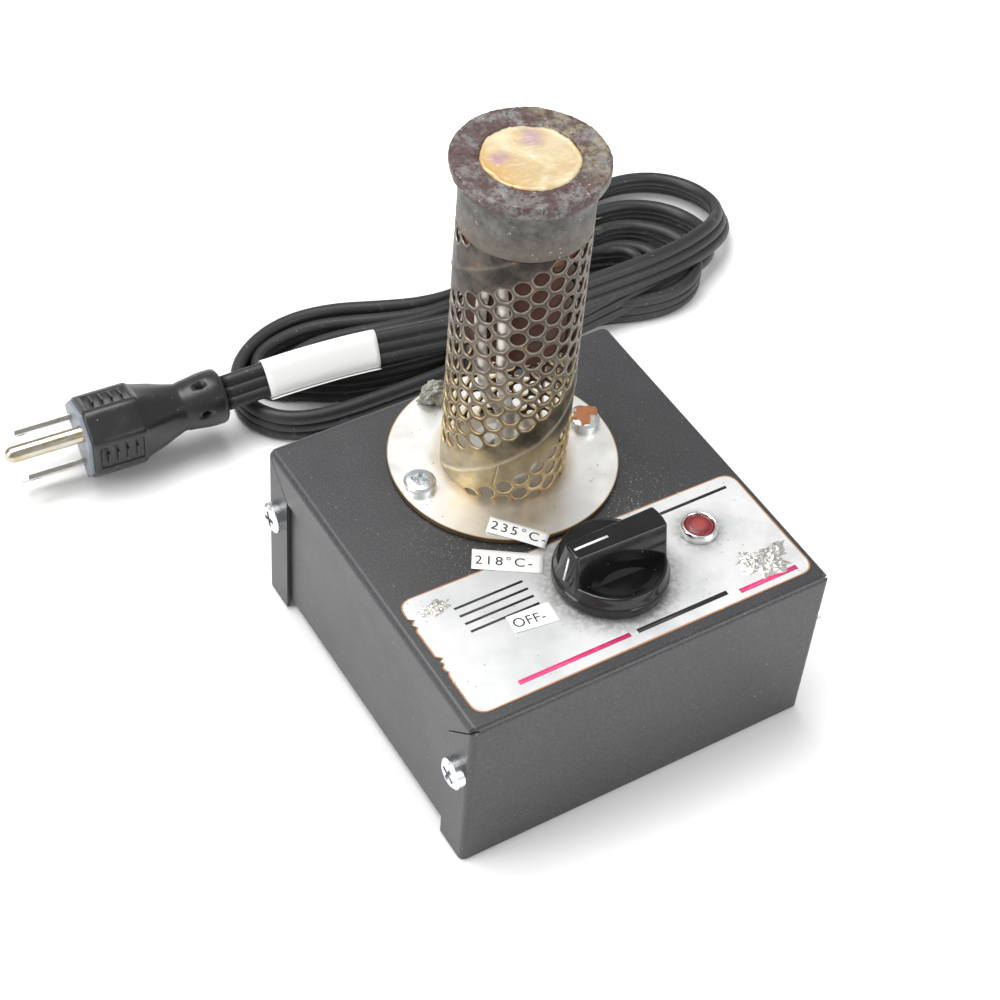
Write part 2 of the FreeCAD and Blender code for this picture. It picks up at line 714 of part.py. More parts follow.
def switch_shaft():
    """The shaft that the knob is pressed on."""
    item = cylinder("shaft_radius", "shaft_drop + sheet_gauge + knob_gap + shaft_top")
    return node(at_switch(item, CEILING + " - shaft_drop"), "switch_shaft")


def switch_terminals():
    """Four solder tags under the switch."""
    tags = []
    for index in range(4):
        tag = Part.makeBox(value("terminal_width"), value("terminal_gauge"), value("terminal_length"))
        tag.translate(Vector(-value("terminal_width/2"), value("terminal_ring"),
                             -value("terminal_length")))
        tag.rotate(Vector(), UP, 90 * index + 45)
        tags.append(tag)
    item = solid_feature("switch_terminals", Part.makeCompound(tags))
    return at_switch(item, CEILING + " - switch_depth")


def control_knob():
    """A bar knob on a domed skirt, hollow underneath for the nut and bored for the shaft."""
    body = new_body("Knob")
    skirt = sketch_on(body, "XZ_Plane", "SkirtProfile")
    outline(skirt, [("shaft_radius", "knob_well_depth"), ("knob_well_radius", "knob_well_depth"),
                    ("knob_well_radius", "0"), ("knob_radius", "0"), ("knob_radius", "skirt_height"),
                    ("knob_well_radius", "dome_height - 1.1"), ("shaft_radius", "dome_height")])
    dome = body.newObject("PartDesign::Revolution", "Skirt")
    dome.Profile = skirt
    dome.ReferenceAxis = (skirt, ["V_Axis"])
    dome.Angle = 360
    bar = sketch_on(body, "XY_Plane", "BarOutline")
    outline(bar, [("- bar_length/2", "- bar_width/2"), ("bar_length/2", "- bar_width/2"),
                  ("bar_length/2", "bar_width/2"), ("- bar_length/2", "bar_width/2")])
    bar.setExpression("AttachmentOffset.Base.z", bound("knob_well_depth"))
    ridge = pad(body, bar, "knob_height - knob_well_depth")
    ridge.setExpression("TaperAngle", "Dimensions.bar_draft")
    bore = sketch_on(body, "XY_Plane", "ShaftBore")
    circle(bore, "shaft_radius")
    pocket(body, bore, "2*shaft_top")
    return node(at_switch(body, DECK + " + knob_gap"), "control_knob")


# ---- pilot lamp ------------------------------------------------------------------------------

def at_lamp(item, height):
    return place(item, "lamp_right", "- lamp_front", height)


def pilot_bezel():
    """The chromed collar of the lamp, on the label."""
    ring = cut(cylinder("bezel_radius", "bezel_height"), cylinder("lens_radius", "bezel_height"))
    return node(at_lamp(ring, LABEL_TOP), "pilot_bezel")


def pilot_lens():
    """The red lens that sits in the collar."""
    lens = cone("lens_radius", "lens_radius - lens_rise", "bezel_height - 0.4 + lens_rise")
    return node(at_lamp(lens, LABEL_TOP + " + 0.4"), "pilot_lens")


def pilot_housing():
    """The lamp's plastic barrel below the panel, closed at its foot but for the two leads."""
    barrel = cylinder("lamp_neck_radius", "lamp_depth + label_gauge")
    hollow_core = cylinder("lamp_neck_radius - lamp_wall", "2*lamp_depth", "0", "0", "lamp_wall")
    leads = [cylinder("lead_radius", "4*lamp_wall", sign + "lamp_lead_offset", "0", "- lamp_wall")
             for sign in ("", "- ")]
    return node(at_lamp(cut(barrel, hollow_core, *leads), DECK + " - lamp_depth"), "pilot_housing")


def pilot_lamp():
    """The neon bulb inside the barrel."""
    glass = cylinder("bulb_radius", "bulb_length")
    return node(at_lamp(glass, DECK + " - lamp_depth + 2*lamp_wall"), "pilot_lamp")


def pilot_clip():
    """The spring washer that grips the barrel under the panel."""
    ring = cut(cylinder("clip_radius", "clip_gauge"), cylinder("lamp_neck_radius", "clip_gauge"))
    return node(at_lamp(ring, CEILING + " - clip_gauge"), "pilot_clip")


# ---- label -----------------------------------------------------------------------------------

def label_plate():
    """The printed face label, with holes for the switch and the lamp."""
    body = new_body("Label")
    sketch = sketch_on(body, "XY_Plane", "LabelOutline")
    left = "label_right - label_width/2"
    right = "label_right + label_width/2"
    front = "- label_front - label_depth/2"
    rear = "- label_front + label_depth/2"
    outline(sketch, [(left, front), (right, front), (right, rear), (left, rear)])
    sketch.setExpression("AttachmentOffset.Base.z", bound(DECK))
    pad(body, sketch, "label_gauge")
    limit = value("label_depth/2") - 0.01
    centre = value("label_front")
    middle_height = value(DECK) + value("label_gauge/2")
    round_edges(body, "label_corner", lambda middle: abs(middle.z - middle_height) < 0.01
                and abs(middle.y + centre) > limit)
    holes = sketch_on(body, "XY_Plane", "LabelHoles")
    circle(holes, "thread_radius", "switch_right", "- switch_front")
    circle(holes, "lamp_neck_radius", "lamp_right", "- lamp_front")
    pocket(body, holes, "4*case_height")
    return node(body, "label_plate")


def setting_tabs():
    """Three small paper tabs that mark the knob's positions; the high one overlaps the disc."""
    tabs = []
    for name, (x, y, turn) in TAB_PLACES.items():
        tab = Part.makeBox(value("tab_length"), value("tab_depth"), value("tab_gauge"))
        tab.rotate(Vector(), UP, turn)
        height = value(DISC_TOP if name == "high" else LABEL_TOP)
        tab.translate(Vector(x, y, height))
        tabs.append(tab)
    return solid_feature("setting_tabs", Part.makeCompound(tabs))


# ---- cord entry, cord and plug ---------------------------------------------------------------

def strain_relief():
    """The bushing in the rear wall with its tapered boot, bored for the cord."""
    reach = "relief_flange + relief_boot"
    profile = [("cord_width/2", "- relief_inside"), ("relief_neck_radius + 0.8", "- relief_inside"),
               ("relief_neck_radius + 0.8", "- sheet_gauge"), ("relief_neck_radius", "- sheet_gauge"),
               ("relief_neck_radius", "0"), ("relief_flange_radius", "0"),
               ("relief_flange_radius", "relief_flange"), ("relief_root_radius", "relief_flange"),
               ("relief_tip_radius", reach), ("cord_width/2", reach)]
    body = revolved("Relief", profile)
    place(body, "relief_right", "case_depth/2", "relief_height", Rotation(RIGHT, -90))
    return node(body, "strain_relief")


def cord_stub():
    """The end of the cord's jacket, from the boot's mouth to just inside the case."""
    item = cylinder("cord_width/2", "relief_flange + relief_boot + relief_inside + jacket_stub",
                    "relief_right", "case_depth/2 - relief_inside - jacket_stub", "relief_height",
                    Rotation(RIGHT, -90))
    return node(item, "cord_stub")


def lead_points():
    """The cord behind the case, from the boot's mouth level to the near side of the hank."""
    right = value("relief_right")
    mouth = value("case_depth/2 + relief_flange + relief_boot")
    high = value("relief_height")
    return [Vector(right, mouth, high), Vector(right, mouth + 6.5, high),
            Vector(right + 0.7, mouth + 13, high - 3), Vector(right + 1.5, mouth + 19.2, high - 6.6)]


def plug_placement():
    """Where the plug lies: nose down, rolled so that the ground pin points up and forward."""
    turn = Rotation(value("plug_yaw"), value("plug_pitch"), value("plug_roll"))
    blades = Vector(-value("plug_left"), value("plug_back"), value("plug_height"))
    return FreeCAD.Placement(blades + turn.multVec(UP) * value("axis_offset"), turn)


def tail_points():
    """The cord from the plug over the low end of the hank."""
    here = plug_placement()
    start = here.multVec(Vector(-value("plug_length"), 0, 0))
    middle = here.multVec(Vector(-value("plug_length + straight_tail"), 0, 0))
    return [start, middle, Vector(value("hank_step + hank_bite"), 97.5, 16.0)]


def cord_tube(label, points, hank):
    """A free length of the cord that ends on the hank's face."""
    tube, radii, length = routed_tube(points, value("cord_width/2"))
    print(label, "arc radii", [round(radius, 1) for radius in radii], "length", round(length, 1))
    return solid_feature(label, tube.cut(hank.Shape))


def cord_wrap_label():
    """The blank paper flag wrapped round the cord next to the plug."""
    start, middle = tail_points()[:2]
    along = (middle - start).normalize()
    here = start + along * value("wrap_start")
    length = value("wrap_length")
    bore = value("cord_width/2 + wrap_gap")
    band = Part.makeCylinder(bore + value("wrap_gauge"), length, here, along)
    return solid_feature("cord_wrap_label", band.cut(Part.makeCylinder(bore, length, here, along)))


def prism(points, low, high):
    """A block with an outline of (x, y) points."""
    corners = [Vector(x, y, low) for x, y in points]
    return Part.Face(Part.makePolygon(corners + corners[:1])).extrude(UP * (high - low))


def cord_hank():
    """The outer shape of the gathered cord: a low loop end and a higher one past the step."""
    step = value("hank_step")
    front = value("hank_front")
    low_end = [(step, front), (step, 122), (44, 124), (24, 131), (12, 134), (0, 135.5), (-12, 133),
               (-22, 127), (-28.5, 116), (-29.5, 106), (-26, 96), (-19, 91.5), (-10, front)]
    high_end = [(step, front), (step, 123), (80, 133), (96, 145), (110, 148.5), (124, 148), (134, 144),
                (141, 136), (143.5, 127), (142, 116), (134, 108), (126, 99), (118, 91.5), (106, front)]
    low = prism(low_end, 0, value("low_hank_height"))
    high = prism(high_end, 0, value("high_hank_height"))
    return solid_feature("cord_hank", low.fuse(high).removeSplitter())


def plug_section(distance, width, thickness):
    """A rounded D section of the plug: flat on the blade side, narrow on the ground-pin side."""
    half = width / 2
    low = -0.44 * thickness
    high = 0.56 * thickness
    corners = [(-half, low), (half, low), (half, low + 0.42 * thickness), (0.42 * half, high),
               (-0.42 * half, high), (-half, low + 0.42 * thickness)]
    points = [Vector(distance, y, z) for y, z in corners]
    return Part.makePolygon(points + points[:1])


def plug_body():
    """The moulded plug: a faceted grip, a waist and a round collar."""
    grip = value("plug_grip")
    face_back = -value("face_gauge")
    width = value("plug_width")
    thickness = value("plug_thickness")
    sections = [plug_section(face_back, width, thickness), plug_section(-grip, width, thickness),
                plug_section(-value("plug_neck"), value("neck_width"), value("neck_thickness"))]
    handle = Part.makeLoft(sections[:2], True, True)
    waist = Part.makeLoft(sections[1:], True, True)
    start = value("plug_neck") - 0.5
    collar = Part.makeCylinder(value("collar_radius"), value("plug_length") - start,
                               Vector(-value("plug_length"), 0, 0), RIGHT)
    core = handle.fuse([waist, collar]).removeSplitter()
    for tool in blade_shapes() + [pin_shape()]:
        core = core.cut(tool)
    item = solid_feature("plug_body", core)
    item.Placement = plug_placement()
    return item


def plug_face():
    """The pale insert that carries the blades."""
    section = plug_section(0, value("plug_width"), value("plug_thickness"))
    plate = Part.Face(section).extrude(RIGHT * -value("face_gauge"))
    for tool in blade_shapes() + [pin_shape()]:
        plate = plate.cut(tool)
    item = solid_feature("plug_face", plate)
    item.Placement = plug_placement()
    return item


def blade_shapes():
    """The two flat blades; each reaches back into the moulding."""
    root = value("pin_root")
    blades = []
    for side in (-1, 1):
        middle = side * value("blade_spacing/2")
        corner = Vector(-root, middle - value("blade_gauge/2"),
                        -value("axis_offset") - value("blade_width/2"))
        blades.append(Part.makeBox(root + value("blade_reach"), value("blade_gauge"),
                                   value("blade_width"), corner))
    return blades


def pin_shape():
    """The round ground pin with its domed tip."""
    height = value("pin_offset - axis_offset")
    radius = value("pin_radius")
    shank = Part.makeCylinder(radius, value("pin_root + pin_reach - pin_radius"),
                              Vector(-value("pin_root"), 0, height), RIGHT)
    tip = Part.makeSphere(radius, Vector(value("pin_reach - pin_radius"), 0, height))
    return shank.fuse(tip).removeSplitter()


def plug_blades():
    item = solid_feature("plug_blades", Part.makeCompound(blade_shapes()))
    item.Placement = plug_placement()
    return item


def plug_ground_pin():
    item = solid_feature("plug_ground_pin", pin_shape())
    item.Placement = plug_placement()
    return item


# ---- wiring inside the case ------------------------------------------------------------------

def at_ground(item, height):
    return place(item, "- ground_left", "ground_back", height)


def ground_screw():
    """A short machine screw up through the bottom plate for the earth lead."""
    head = cylinder("ground_head_radius", "ground_head")
    screw = fuse(head, cylinder("ground_screw_radius", "ground_shank"))
    return node(at_ground(screw, FLOOR_PLATE + " - ground_head"), "ground_screw")


def ground_nut():
    nut = cut(hexagon("ground_nut_across", "ground_nut_height"),
              cylinder("ground_screw_radius", "ground_nut_height"))
    return node(at_ground(nut, FLOOR_PLATE + " + sheet_gauge + lug_gauge"), "ground_nut")


def ground_lug():
    """The ring terminal on the earth lead."""
    tail = block("lug_tail", "lug_radius", "lug_gauge", "0", "- lug_radius/2")
    ring = fuse(cylinder("lug_radius", "lug_gauge"), tail)
    lug = cut(ring, cylinder("ground_screw_radius", "lug_gauge"))
    return node(at_ground(lug, FLOOR_PLATE + " + sheet_gauge"), "ground_lug")


def stub_face():
    """Middle of the cord's inner end."""
    return Vector(value("relief_right"), value("case_depth/2 - relief_inside - jacket_stub"),
                  value("relief_height"))


def wire(label, points):
    return solid_feature(label, routed_tube(points, value("wire_radius"))[0])


def wire_connectors():
    """Two closed-end crimp caps, mouth up, where the leads are joined."""
    caps = [Part.makeCone(value("cap_radius"), value("cap_tip_radius"), value("cap_length"),
                          Vector(x, y, value("cap_mouth")), -UP) for x, y in CAP_PLACES.values()]
    return solid_feature("wire_connectors", Part.makeCompound(caps))


def cap_mouth(name, above):
    """A point over the mouth of a crimp cap."""
    x, y = CAP_PLACES[name]
    return Vector(x, y, value("cap_mouth") + above)


def tag_end(x, below):
    """A point under one of the switch's rear tags."""
    return Vector(x, -18.9, value(CEILING + " - switch_depth - terminal_length") - below)


def earth_wire():
    """From the cord's end to the ring terminal."""
    face = stub_face()
    return wire("earth_wire", [face + Vector(0, 0, -2), face + Vector(0, -9, -2), Vector(8, 16, 7),
                               Vector(-6, 4, 6), Vector(-20.9, 0, 5.6)])


def live_wire():
    """From the cord's end to a tag of the switch."""
    face = stub_face()
    return wire("live_wire", [face + Vector(3, 0, 0), face + Vector(3, -9, 0), Vector(24, 14, 10),
                              Vector(22, -4, 9), Vector(14, -16, 13), tag_end(9.2, 6.6),
                              tag_end(9.2, 0)])


def neutral_wire():
    """From the cord's end to the first crimp cap."""
    face = stub_face()
    return wire("neutral_wire", [face + Vector(-3, 0, 1), face + Vector(-3, -6, 1), Vector(4, 34, 22),
                                 Vector(-6, 34, 33), Vector(-18, 30, 37), cap_mouth("neutral", 6),
                                 cap_mouth("neutral", 0)])


def heater_wire():
    """From the second crimp cap to a tag of the switch."""
    return wire("heater_wire", [cap_mouth("heater", 0), cap_mouth("heater", 6), Vector(-31, 14, 38),
                                Vector(-24, 2, 32), Vector(-14, -14, 20), tag_end(-4.4, 6.6),
                                tag_end(-4.4, 0)])


def rectifier_diode():
    """The power diode that halves the heat on the low setting, with its two leads."""
    length = value("diode_length")
    reach = value("diode_reach")
    body = Part.makeCylinder(value("diode_radius"), length, RIGHT * (-length / 2), RIGHT)
    leads = Part.makeCylinder(value("fine_lead_radius"), reach, RIGHT * (-reach / 2), RIGHT)
    item = solid_feature("rectifier_diode", body.fuse(leads).removeSplitter())
    return at_switch(item, CEILING + " - switch_depth - terminal_length - diode_drop")


def pilot_leads():
    """The neon lamp's two leads, out of the barrel's foot."""
    foot = Vector(value("lamp_right"), -value("lamp_front"), value(DECK + " - lamp_depth"))
    tubes = []
    for side in (-1, 1):
        hole = foot + RIGHT * (side * value("lamp_lead_offset"))
        spread = RIGHT * side
        points = [hole + UP * (2 * value("lamp_wall") - 0.2), hole - UP * 8,
                  hole + spread + Vector(3, 9, -12), hole + spread + Vector(4, 20, -8)]
        tubes.append(routed_tube(points, value("fine_lead_radius"))[0])
    return solid_feature("pilot_leads", Part.makeCompound(tubes))


def build():
    enclosure_cover()
    base_chassis()
    rubber_feet()
    screw = pan_head_screw()
    case_screws(screw)
    flange_gasket()
    tower_flange()
    flange_screws(screw)
    flange_nuts()
    tower_bushing()
    perforated_tube()
    crucible()
    solder_charge()
    heater_band()
    heater_terminals()
    heater_leads()
    lead_sleeves()
    switch_body()
    switch_washer()
    switch_nut()
    switch_shaft()
    switch_terminals()
    control_knob()
    pilot_bezel()
    pilot_lens()
    pilot_housing()
    pilot_lamp()
    pilot_clip()
    pilot_leads()
    label_plate()
    setting_tabs()
    strain_relief()
    cord_stub()
    hank = cord_hank()
    cord_tube("cord_lead", lead_points(), hank)
    cord_tube("cord_tail", tail_points(), hank)
    cord_wrap_label()
    plug_body()
    plug_face()
    plug_blades()
    plug_ground_pin()
    ground_screw()
    ground_lug()
    ground_nut()
    wire_connectors()
    earth_wire()
    live_wire()
    neutral_wire()
    heater_wire()
    rectifier_diode()


def write_parts():
    """Check every object, then write one STEP file for each node."""
    doc.recompute()
    for item in doc.Objects:
        if "Invalid" in item.State or "Error" in item.State:
            raise RuntimeError(item.Name + " failed: " + ", ".join(item.State))
    for item in NODES:
        if item.Shape.isNull() or not item.Shape.isValid():
            raise RuntimeError(item.Label + " has no valid shape")
    os.makedirs("parts", exist_ok=True)
    for item in NODES:
        item.Shape.exportStep(os.path.join("parts", item.Label + ".step"))
    print(len(NODES), "nodes")


build()
write_parts()
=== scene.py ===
"""Bench mini solder pot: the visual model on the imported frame, in metres.

+X runs to the right along the front edge of the case, +Y to the rear, +Z up from the bench.
Lengths of pieces are written in millimetres and turned to metres by MM or mm(). Places and
reaches inside the node materials are in metres.
"""
import math
import random

import bmesh
import bpy
from mathutils import Matrix, Vector, noise


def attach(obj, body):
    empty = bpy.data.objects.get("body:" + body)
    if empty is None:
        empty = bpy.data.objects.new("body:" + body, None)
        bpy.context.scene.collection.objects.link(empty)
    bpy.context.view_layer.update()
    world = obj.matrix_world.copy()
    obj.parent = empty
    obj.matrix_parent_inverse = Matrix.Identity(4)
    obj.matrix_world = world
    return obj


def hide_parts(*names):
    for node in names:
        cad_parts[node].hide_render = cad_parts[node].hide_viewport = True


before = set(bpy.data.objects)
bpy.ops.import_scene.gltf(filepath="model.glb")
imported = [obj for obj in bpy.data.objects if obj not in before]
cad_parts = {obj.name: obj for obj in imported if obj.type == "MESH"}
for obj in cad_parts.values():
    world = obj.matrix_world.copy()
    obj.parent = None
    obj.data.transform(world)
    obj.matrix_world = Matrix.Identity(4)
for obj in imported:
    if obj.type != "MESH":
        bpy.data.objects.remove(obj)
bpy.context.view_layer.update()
MM = 0.001
UP = Vector((0, 0, 1))
DECK = 51.6                       # top of the case
DISC_TOP = 53.3                   # top of the tower's disc
SEAT = 130.3                      # where the pot stands on the tube
TOWER = Vector((0, 20.5, 0))      # axis of the tower
KNOB = Vector((2.4, -25.7, 0))    # axis of the knob
LAMP = Vector((30.3, -23.2, 0))   # axis of the pilot lamp
CORD_HOLE = (34, 50.8, 12)        # middle of the hole in the rear wall


def mm(x, y, z):
    """A place given in millimetres."""
    return Vector((x, y, z)) * MM


# ---- node materials --------------------------------------------------------------------------

class Paint:
    """A node material in the making: one principled shader and short calls that feed it."""

    def __init__(self, name, roughness=0.5, metallic=0.0, **fixed):
        self.material = bpy.data.materials.new(name)
        self.material.use_nodes = True
        self.nodes = self.material.node_tree.nodes
        self.shader = self.nodes["Principled BSDF"]
        self.feed(self.shader, Roughness=roughness, Metallic=metallic, **fixed)
        self.place = self.nodes.new("ShaderNodeTexCoord").outputs["Object"]
        self.height = None
        self.base = None

    def wire(self, value, socket):
        """Join a socket to a socket, or write a number or a colour into it."""
        if isinstance(value, bpy.types.NodeSocket):
            self.material.node_tree.links.new(value, socket)
        elif socket.type == "RGBA":
            socket.default_value = (*value, 1.0)
        else:
            socket.default_value = value

    def feed(self, node, **values):
        """Fill a node's inputs by name; an underscore stands for a space."""
        for name, value in values.items():
            self.wire(value, node.inputs[name.replace("_", " ")])
        return node

    def texture(self, kind, output, **values):
        """One output of a new node with these inputs."""
        return self.feed(self.nodes.new(kind), **values).outputs[output]

    def noise(self, scale, detail=4.0, rough=0.55, stretch=None, distort=0.0):
        """Smooth noise; stretch scales the three directions, for grain that runs one way."""
        place = self.place
        if stretch:
            place = self.texture("ShaderNodeMapping", "Vector", Vector=place, Scale=stretch)
        return self.texture("ShaderNodeTexNoise", "Fac", Vector=place, Scale=scale,
                            Detail=detail, Roughness=rough, Distortion=distort)

    def cells(self, scale, spread=1.0):
        """Distance to the nearest of many points: in a grid at spread 0, scattered at 1."""
        return self.texture("ShaderNodeTexVoronoi", "Distance", Vector=self.place, Scale=scale,
                            Randomness=spread)

    def step(self, source, low, high, top=1.0, bottom=0.0):
        """A soft step: bottom under low, top over high."""
        node = self.nodes.new("ShaderNodeMapRange")
        node.interpolation_type = "SMOOTHSTEP"
        self.feed(node, Value=source, From_Min=low, From_Max=high, To_Min=bottom, To_Max=top)
        return node.outputs["Result"]

    def below(self, source, low, high):
        """A soft mask: 1 under low, 0 over high."""
        return self.step(source, low, high, 0.0, 1.0)

    def patches(self, low, high, *grain, **more):
        """Patches where noise is over low, full over high; the rest says what noise."""
        return self.step(self.noise(*grain, **more), low, high)

    def math(self, operation, first, second):
        """Two masks or numbers brought together."""
        node = self.nodes.new("ShaderNodeMath")
        node.operation = operation
        self.wire(first, node.inputs[0])
        self.wire(second, node.inputs[1])
        return node.outputs[0]

    def times(self, first, second):
        return self.math("MULTIPLY", first, second)

    def plus(self, first, second):
        return self.math("ADD", first, second)

    def mix(self, factor, first, second):
        """A colour between two colours."""
        node = self.nodes.new("ShaderNodeMix")
        node.data_type = "RGBA"
        for value, socket in ((factor, "Factor"), (first, 6), (second, 7)):
            self.wire(value, node.inputs[socket])
        return node.outputs[2]

    def axis(self, name):
        """One coordinate of the surface point, in metres."""
        node = self.nodes.new("ShaderNodeSeparateXYZ")
        self.wire(self.place, node.inputs[0])
        return node.outputs[name]

    def reach(self, point):
        """Distance from the vertical axis through a point, in metres."""
        value = self.place
        steps = (("SUBTRACT", point), ("MULTIPLY", (1, 1, 0)), ("LENGTH", (0, 0, 0)))
        for operation, other in steps:
            node = self.nodes.new("ShaderNodeVectorMath")
            node.operation = operation
            self.wire(value, node.inputs[0])
            node.inputs[1].default_value = other
            value = node.outputs[0]
        return node.outputs["Value"]

    def attribute(self, name):
        """A number stored on the mesh's points."""
        node = self.nodes.new("ShaderNodeAttribute")
        node.attribute_name = name
        return node.outputs["Fac"]

    def ground(self, factor, first, second):
        """The paint's first colour, between two colours."""
        self.base = self.mix(factor, first, second)
        self.feed(self.shader, Base_Color=self.base)

    def layer(self, mask, colour, share=1.0):
        """Lay one more colour over the paint where a mask says, up to a share."""
        self.ground(self.times(mask, share) if share < 1.0 else mask, self.base, colour)

    def rough(self, source, amount, least):
        """Roughness that follows a mask, from least up by an amount."""
        self.feed(self.shader, Roughness=self.plus(self.times(source, amount), least))

    def bump(self, source, strength, distance):
        """One more layer of relief; distance in millimetres. Gives the material."""
        node = self.nodes.new("ShaderNodeBump")
        self.feed(node, Strength=strength, Distance=distance * MM, Height=source)
        if self.height:
            self.feed(node, Normal=self.height)
        self.height = node.outputs["Normal"]
        self.feed(self.shader, Normal=self.height)
        return self.material


def specks(paint, scale, size, amount):
    """A mask of separate tiny specks: dust and lint."""
    near = paint.below(paint.cells(scale), size * 0.6, size)
    pick = paint.patches(1 - amount, 1 - amount + 0.03, scale * 0.37, 2.0)
    return paint.times(near, pick)


def powder_coat(name):
    """Black powder coat: fine grain, scuffs, dust and lint, and grit in front of the tower."""
    paint = Paint(name, roughness=0.42)
    cloud = paint.noise(45, 5)
    paint.ground(cloud, (0.019, 0.019, 0.021), (0.036, 0.036, 0.039))
    grain = paint.patches(0.40, 0.66, 1900, 3)
    paint.layer(grain, (0.085, 0.085, 0.088), 0.35)
    scuff = paint.patches(0.69, 0.75, 55, 6, 0.6, (1, 26, 9), 0.6)
    paint.layer(scuff, (0.16, 0.155, 0.15), 0.45)
    dust = specks(paint, 560, 0.13, 0.47)
    lint = specks(paint, 230, 0.05, 0.47)
    near_tower = paint.below(paint.reach(mm(0, -10, 0)), 0.020, 0.046)
    grit = paint.times(specks(paint, 1300, 0.26, 0.55), near_tower)
    paint.layer(dust, (0.30, 0.295, 0.28), 0.4)
    paint.layer(lint, (0.55, 0.54, 0.52), 0.8)
    paint.layer(grit, (0.40, 0.38, 0.35), 0.55)
    paint.rough(paint.noise(90, 4), 0.16, 0.30)
    paint.bump(paint.noise(2600, 2), 0.22, 0.05)
    return paint.bump(paint.noise(420, 3), 0.10, 0.10)


def zinc(name):
    """Zinc-plated steel."""
    paint = Paint(name, roughness=0.26, metallic=1.0)
    paint.ground(paint.noise(600, 5), (0.60, 0.63, 0.66), (0.84, 0.86, 0.88))
    paint.rough(paint.noise(1500, 4), 0.26, 0.14)
    return paint.bump(paint.noise(2400, 3), 0.30, 0.05)


def disc_metal(name):
    """Bright aluminium, tan near the tower, with a brown line along its edge."""
    paint = Paint(name, roughness=0.3, metallic=1.0)
    reach = paint.reach(TOWER * MM)
    cloud = paint.noise(70, 5, 0.6)
    paint.ground(paint.step(cloud, 0.35, 0.7), (0.93, 0.925, 0.90), (0.84, 0.82, 0.77))
    wobble = paint.plus(reach, paint.times(cloud, 0.006))
    paint.layer(paint.step(wobble, 0.0190, 0.0225, 0.0, 0.6), (0.56, 0.46, 0.32))
    paint.layer(paint.step(reach, 0.0289, 0.0292), (0.42, 0.30, 0.16))
    stains = paint.patches(0.66, 0.72, 160, 6, 0.65)
    paint.layer(stains, (0.40, 0.37, 0.32), 0.55)
    paint.layer(specks(paint, 480, 0.11, 0.46), (0.20, 0.17, 0.14))
    paint.rough(paint.noise(130, 5), 0.30, 0.20)
    paint.bump(paint.noise(900, 4, 0.6, (1, 7, 1)), 0.16, 0.05)
    return paint.bump(paint.noise(60, 4), 0.16, 0.5)


def heat_colours(paint):
    """Colours of the tube from golden at its foot to purple-grey under the pot."""
    height = paint.axis("Z")
    cloud = paint.noise(75, 6, 0.62)
    drift = paint.plus(height, paint.times(paint.math("SUBTRACT", cloud, 0.5), 0.022))
    foot = paint.mix(paint.step(cloud, 0.38, 0.62), (0.46, 0.36, 0.20), (0.27, 0.225, 0.14))
    middle = paint.mix(paint.patches(0.35, 0.65, 130, 5), (0.075, 0.062, 0.042),
                       (0.20, 0.165, 0.115))
    top = paint.mix(paint.patches(0.35, 0.65, 150, 6, 0.7), (0.028, 0.024, 0.021),
                    (0.095, 0.08, 0.067))
    paint.ground(paint.step(drift, 0.063, 0.074), foot, middle)
    paint.layer(paint.step(drift, 0.092, 0.112), top)
    orange = paint.patches(0.61, 0.69, 210, 5, 0.6)
    paint.layer(orange, (0.30, 0.13, 0.045), 0.5)


def tube_metal(name):
    """The tube's outside: heat colours, hole rims lightened by painted highlight and a pale weld
    line.
    """
    paint = Paint(name, roughness=0.42, metallic=0.8)
    heat_colours(paint)
    side = paint.step(paint.axis("X"), 0.006, 0.016)
    low = paint.below(paint.axis("Z"), 0.066, 0.078)
    blue = paint.times(paint.patches(0.5, 0.62, 90, 3), low)
    paint.layer(blue, (0.20, 0.21, 0.25), 0.25)
    paint.layer(paint.times(side, low), (0.50, 0.33, 0.14), 0.35)
    # painted highlight on the hole rims: golden low on the tube, greyer higher up
    rim = paint.mix(paint.step(paint.axis("Z"), 0.072, 0.096), (0.62, 0.46, 0.24),
                    (0.36, 0.31, 0.26))
    paint.layer(paint.attribute("rim"), rim, 0.85)
    seam = paint.times(paint.attribute("seam"),
                       paint.step(paint.axis("Z"), 0.070, 0.095, 0.1, 0.6))
    paint.layer(seam, (0.66, 0.58, 0.46))
    paint.rough(paint.noise(260, 5), 0.36, 0.26)
    paint.bump(paint.noise(700, 5, 0.65), 0.30, 0.12)
    return paint.bump(paint.noise(120, 3), 0.16, 0.4)


def rust(name, painted_shade_factor=1.0):
    """Reddish-brown scale, as on the stem and inside the tube; painted_shade_factor scales its
    colours down as painted shade deep in the tube.
    """
    def shade(*colour):
        return tuple(channel * painted_shade_factor for channel in colour)

    paint = Paint(name, roughness=0.8)
    paint.ground(paint.noise(260, 6, 0.7), shade(0.10, 0.030, 0.016), shade(0.34, 0.135, 0.07))
    ash = paint.patches(0.58, 0.70, 90, 5)
    paint.layer(ash, shade(0.26, 0.22, 0.20), 0.45)
    return paint.bump(paint.noise(800, 6, 0.7), 0.6, 0.25)


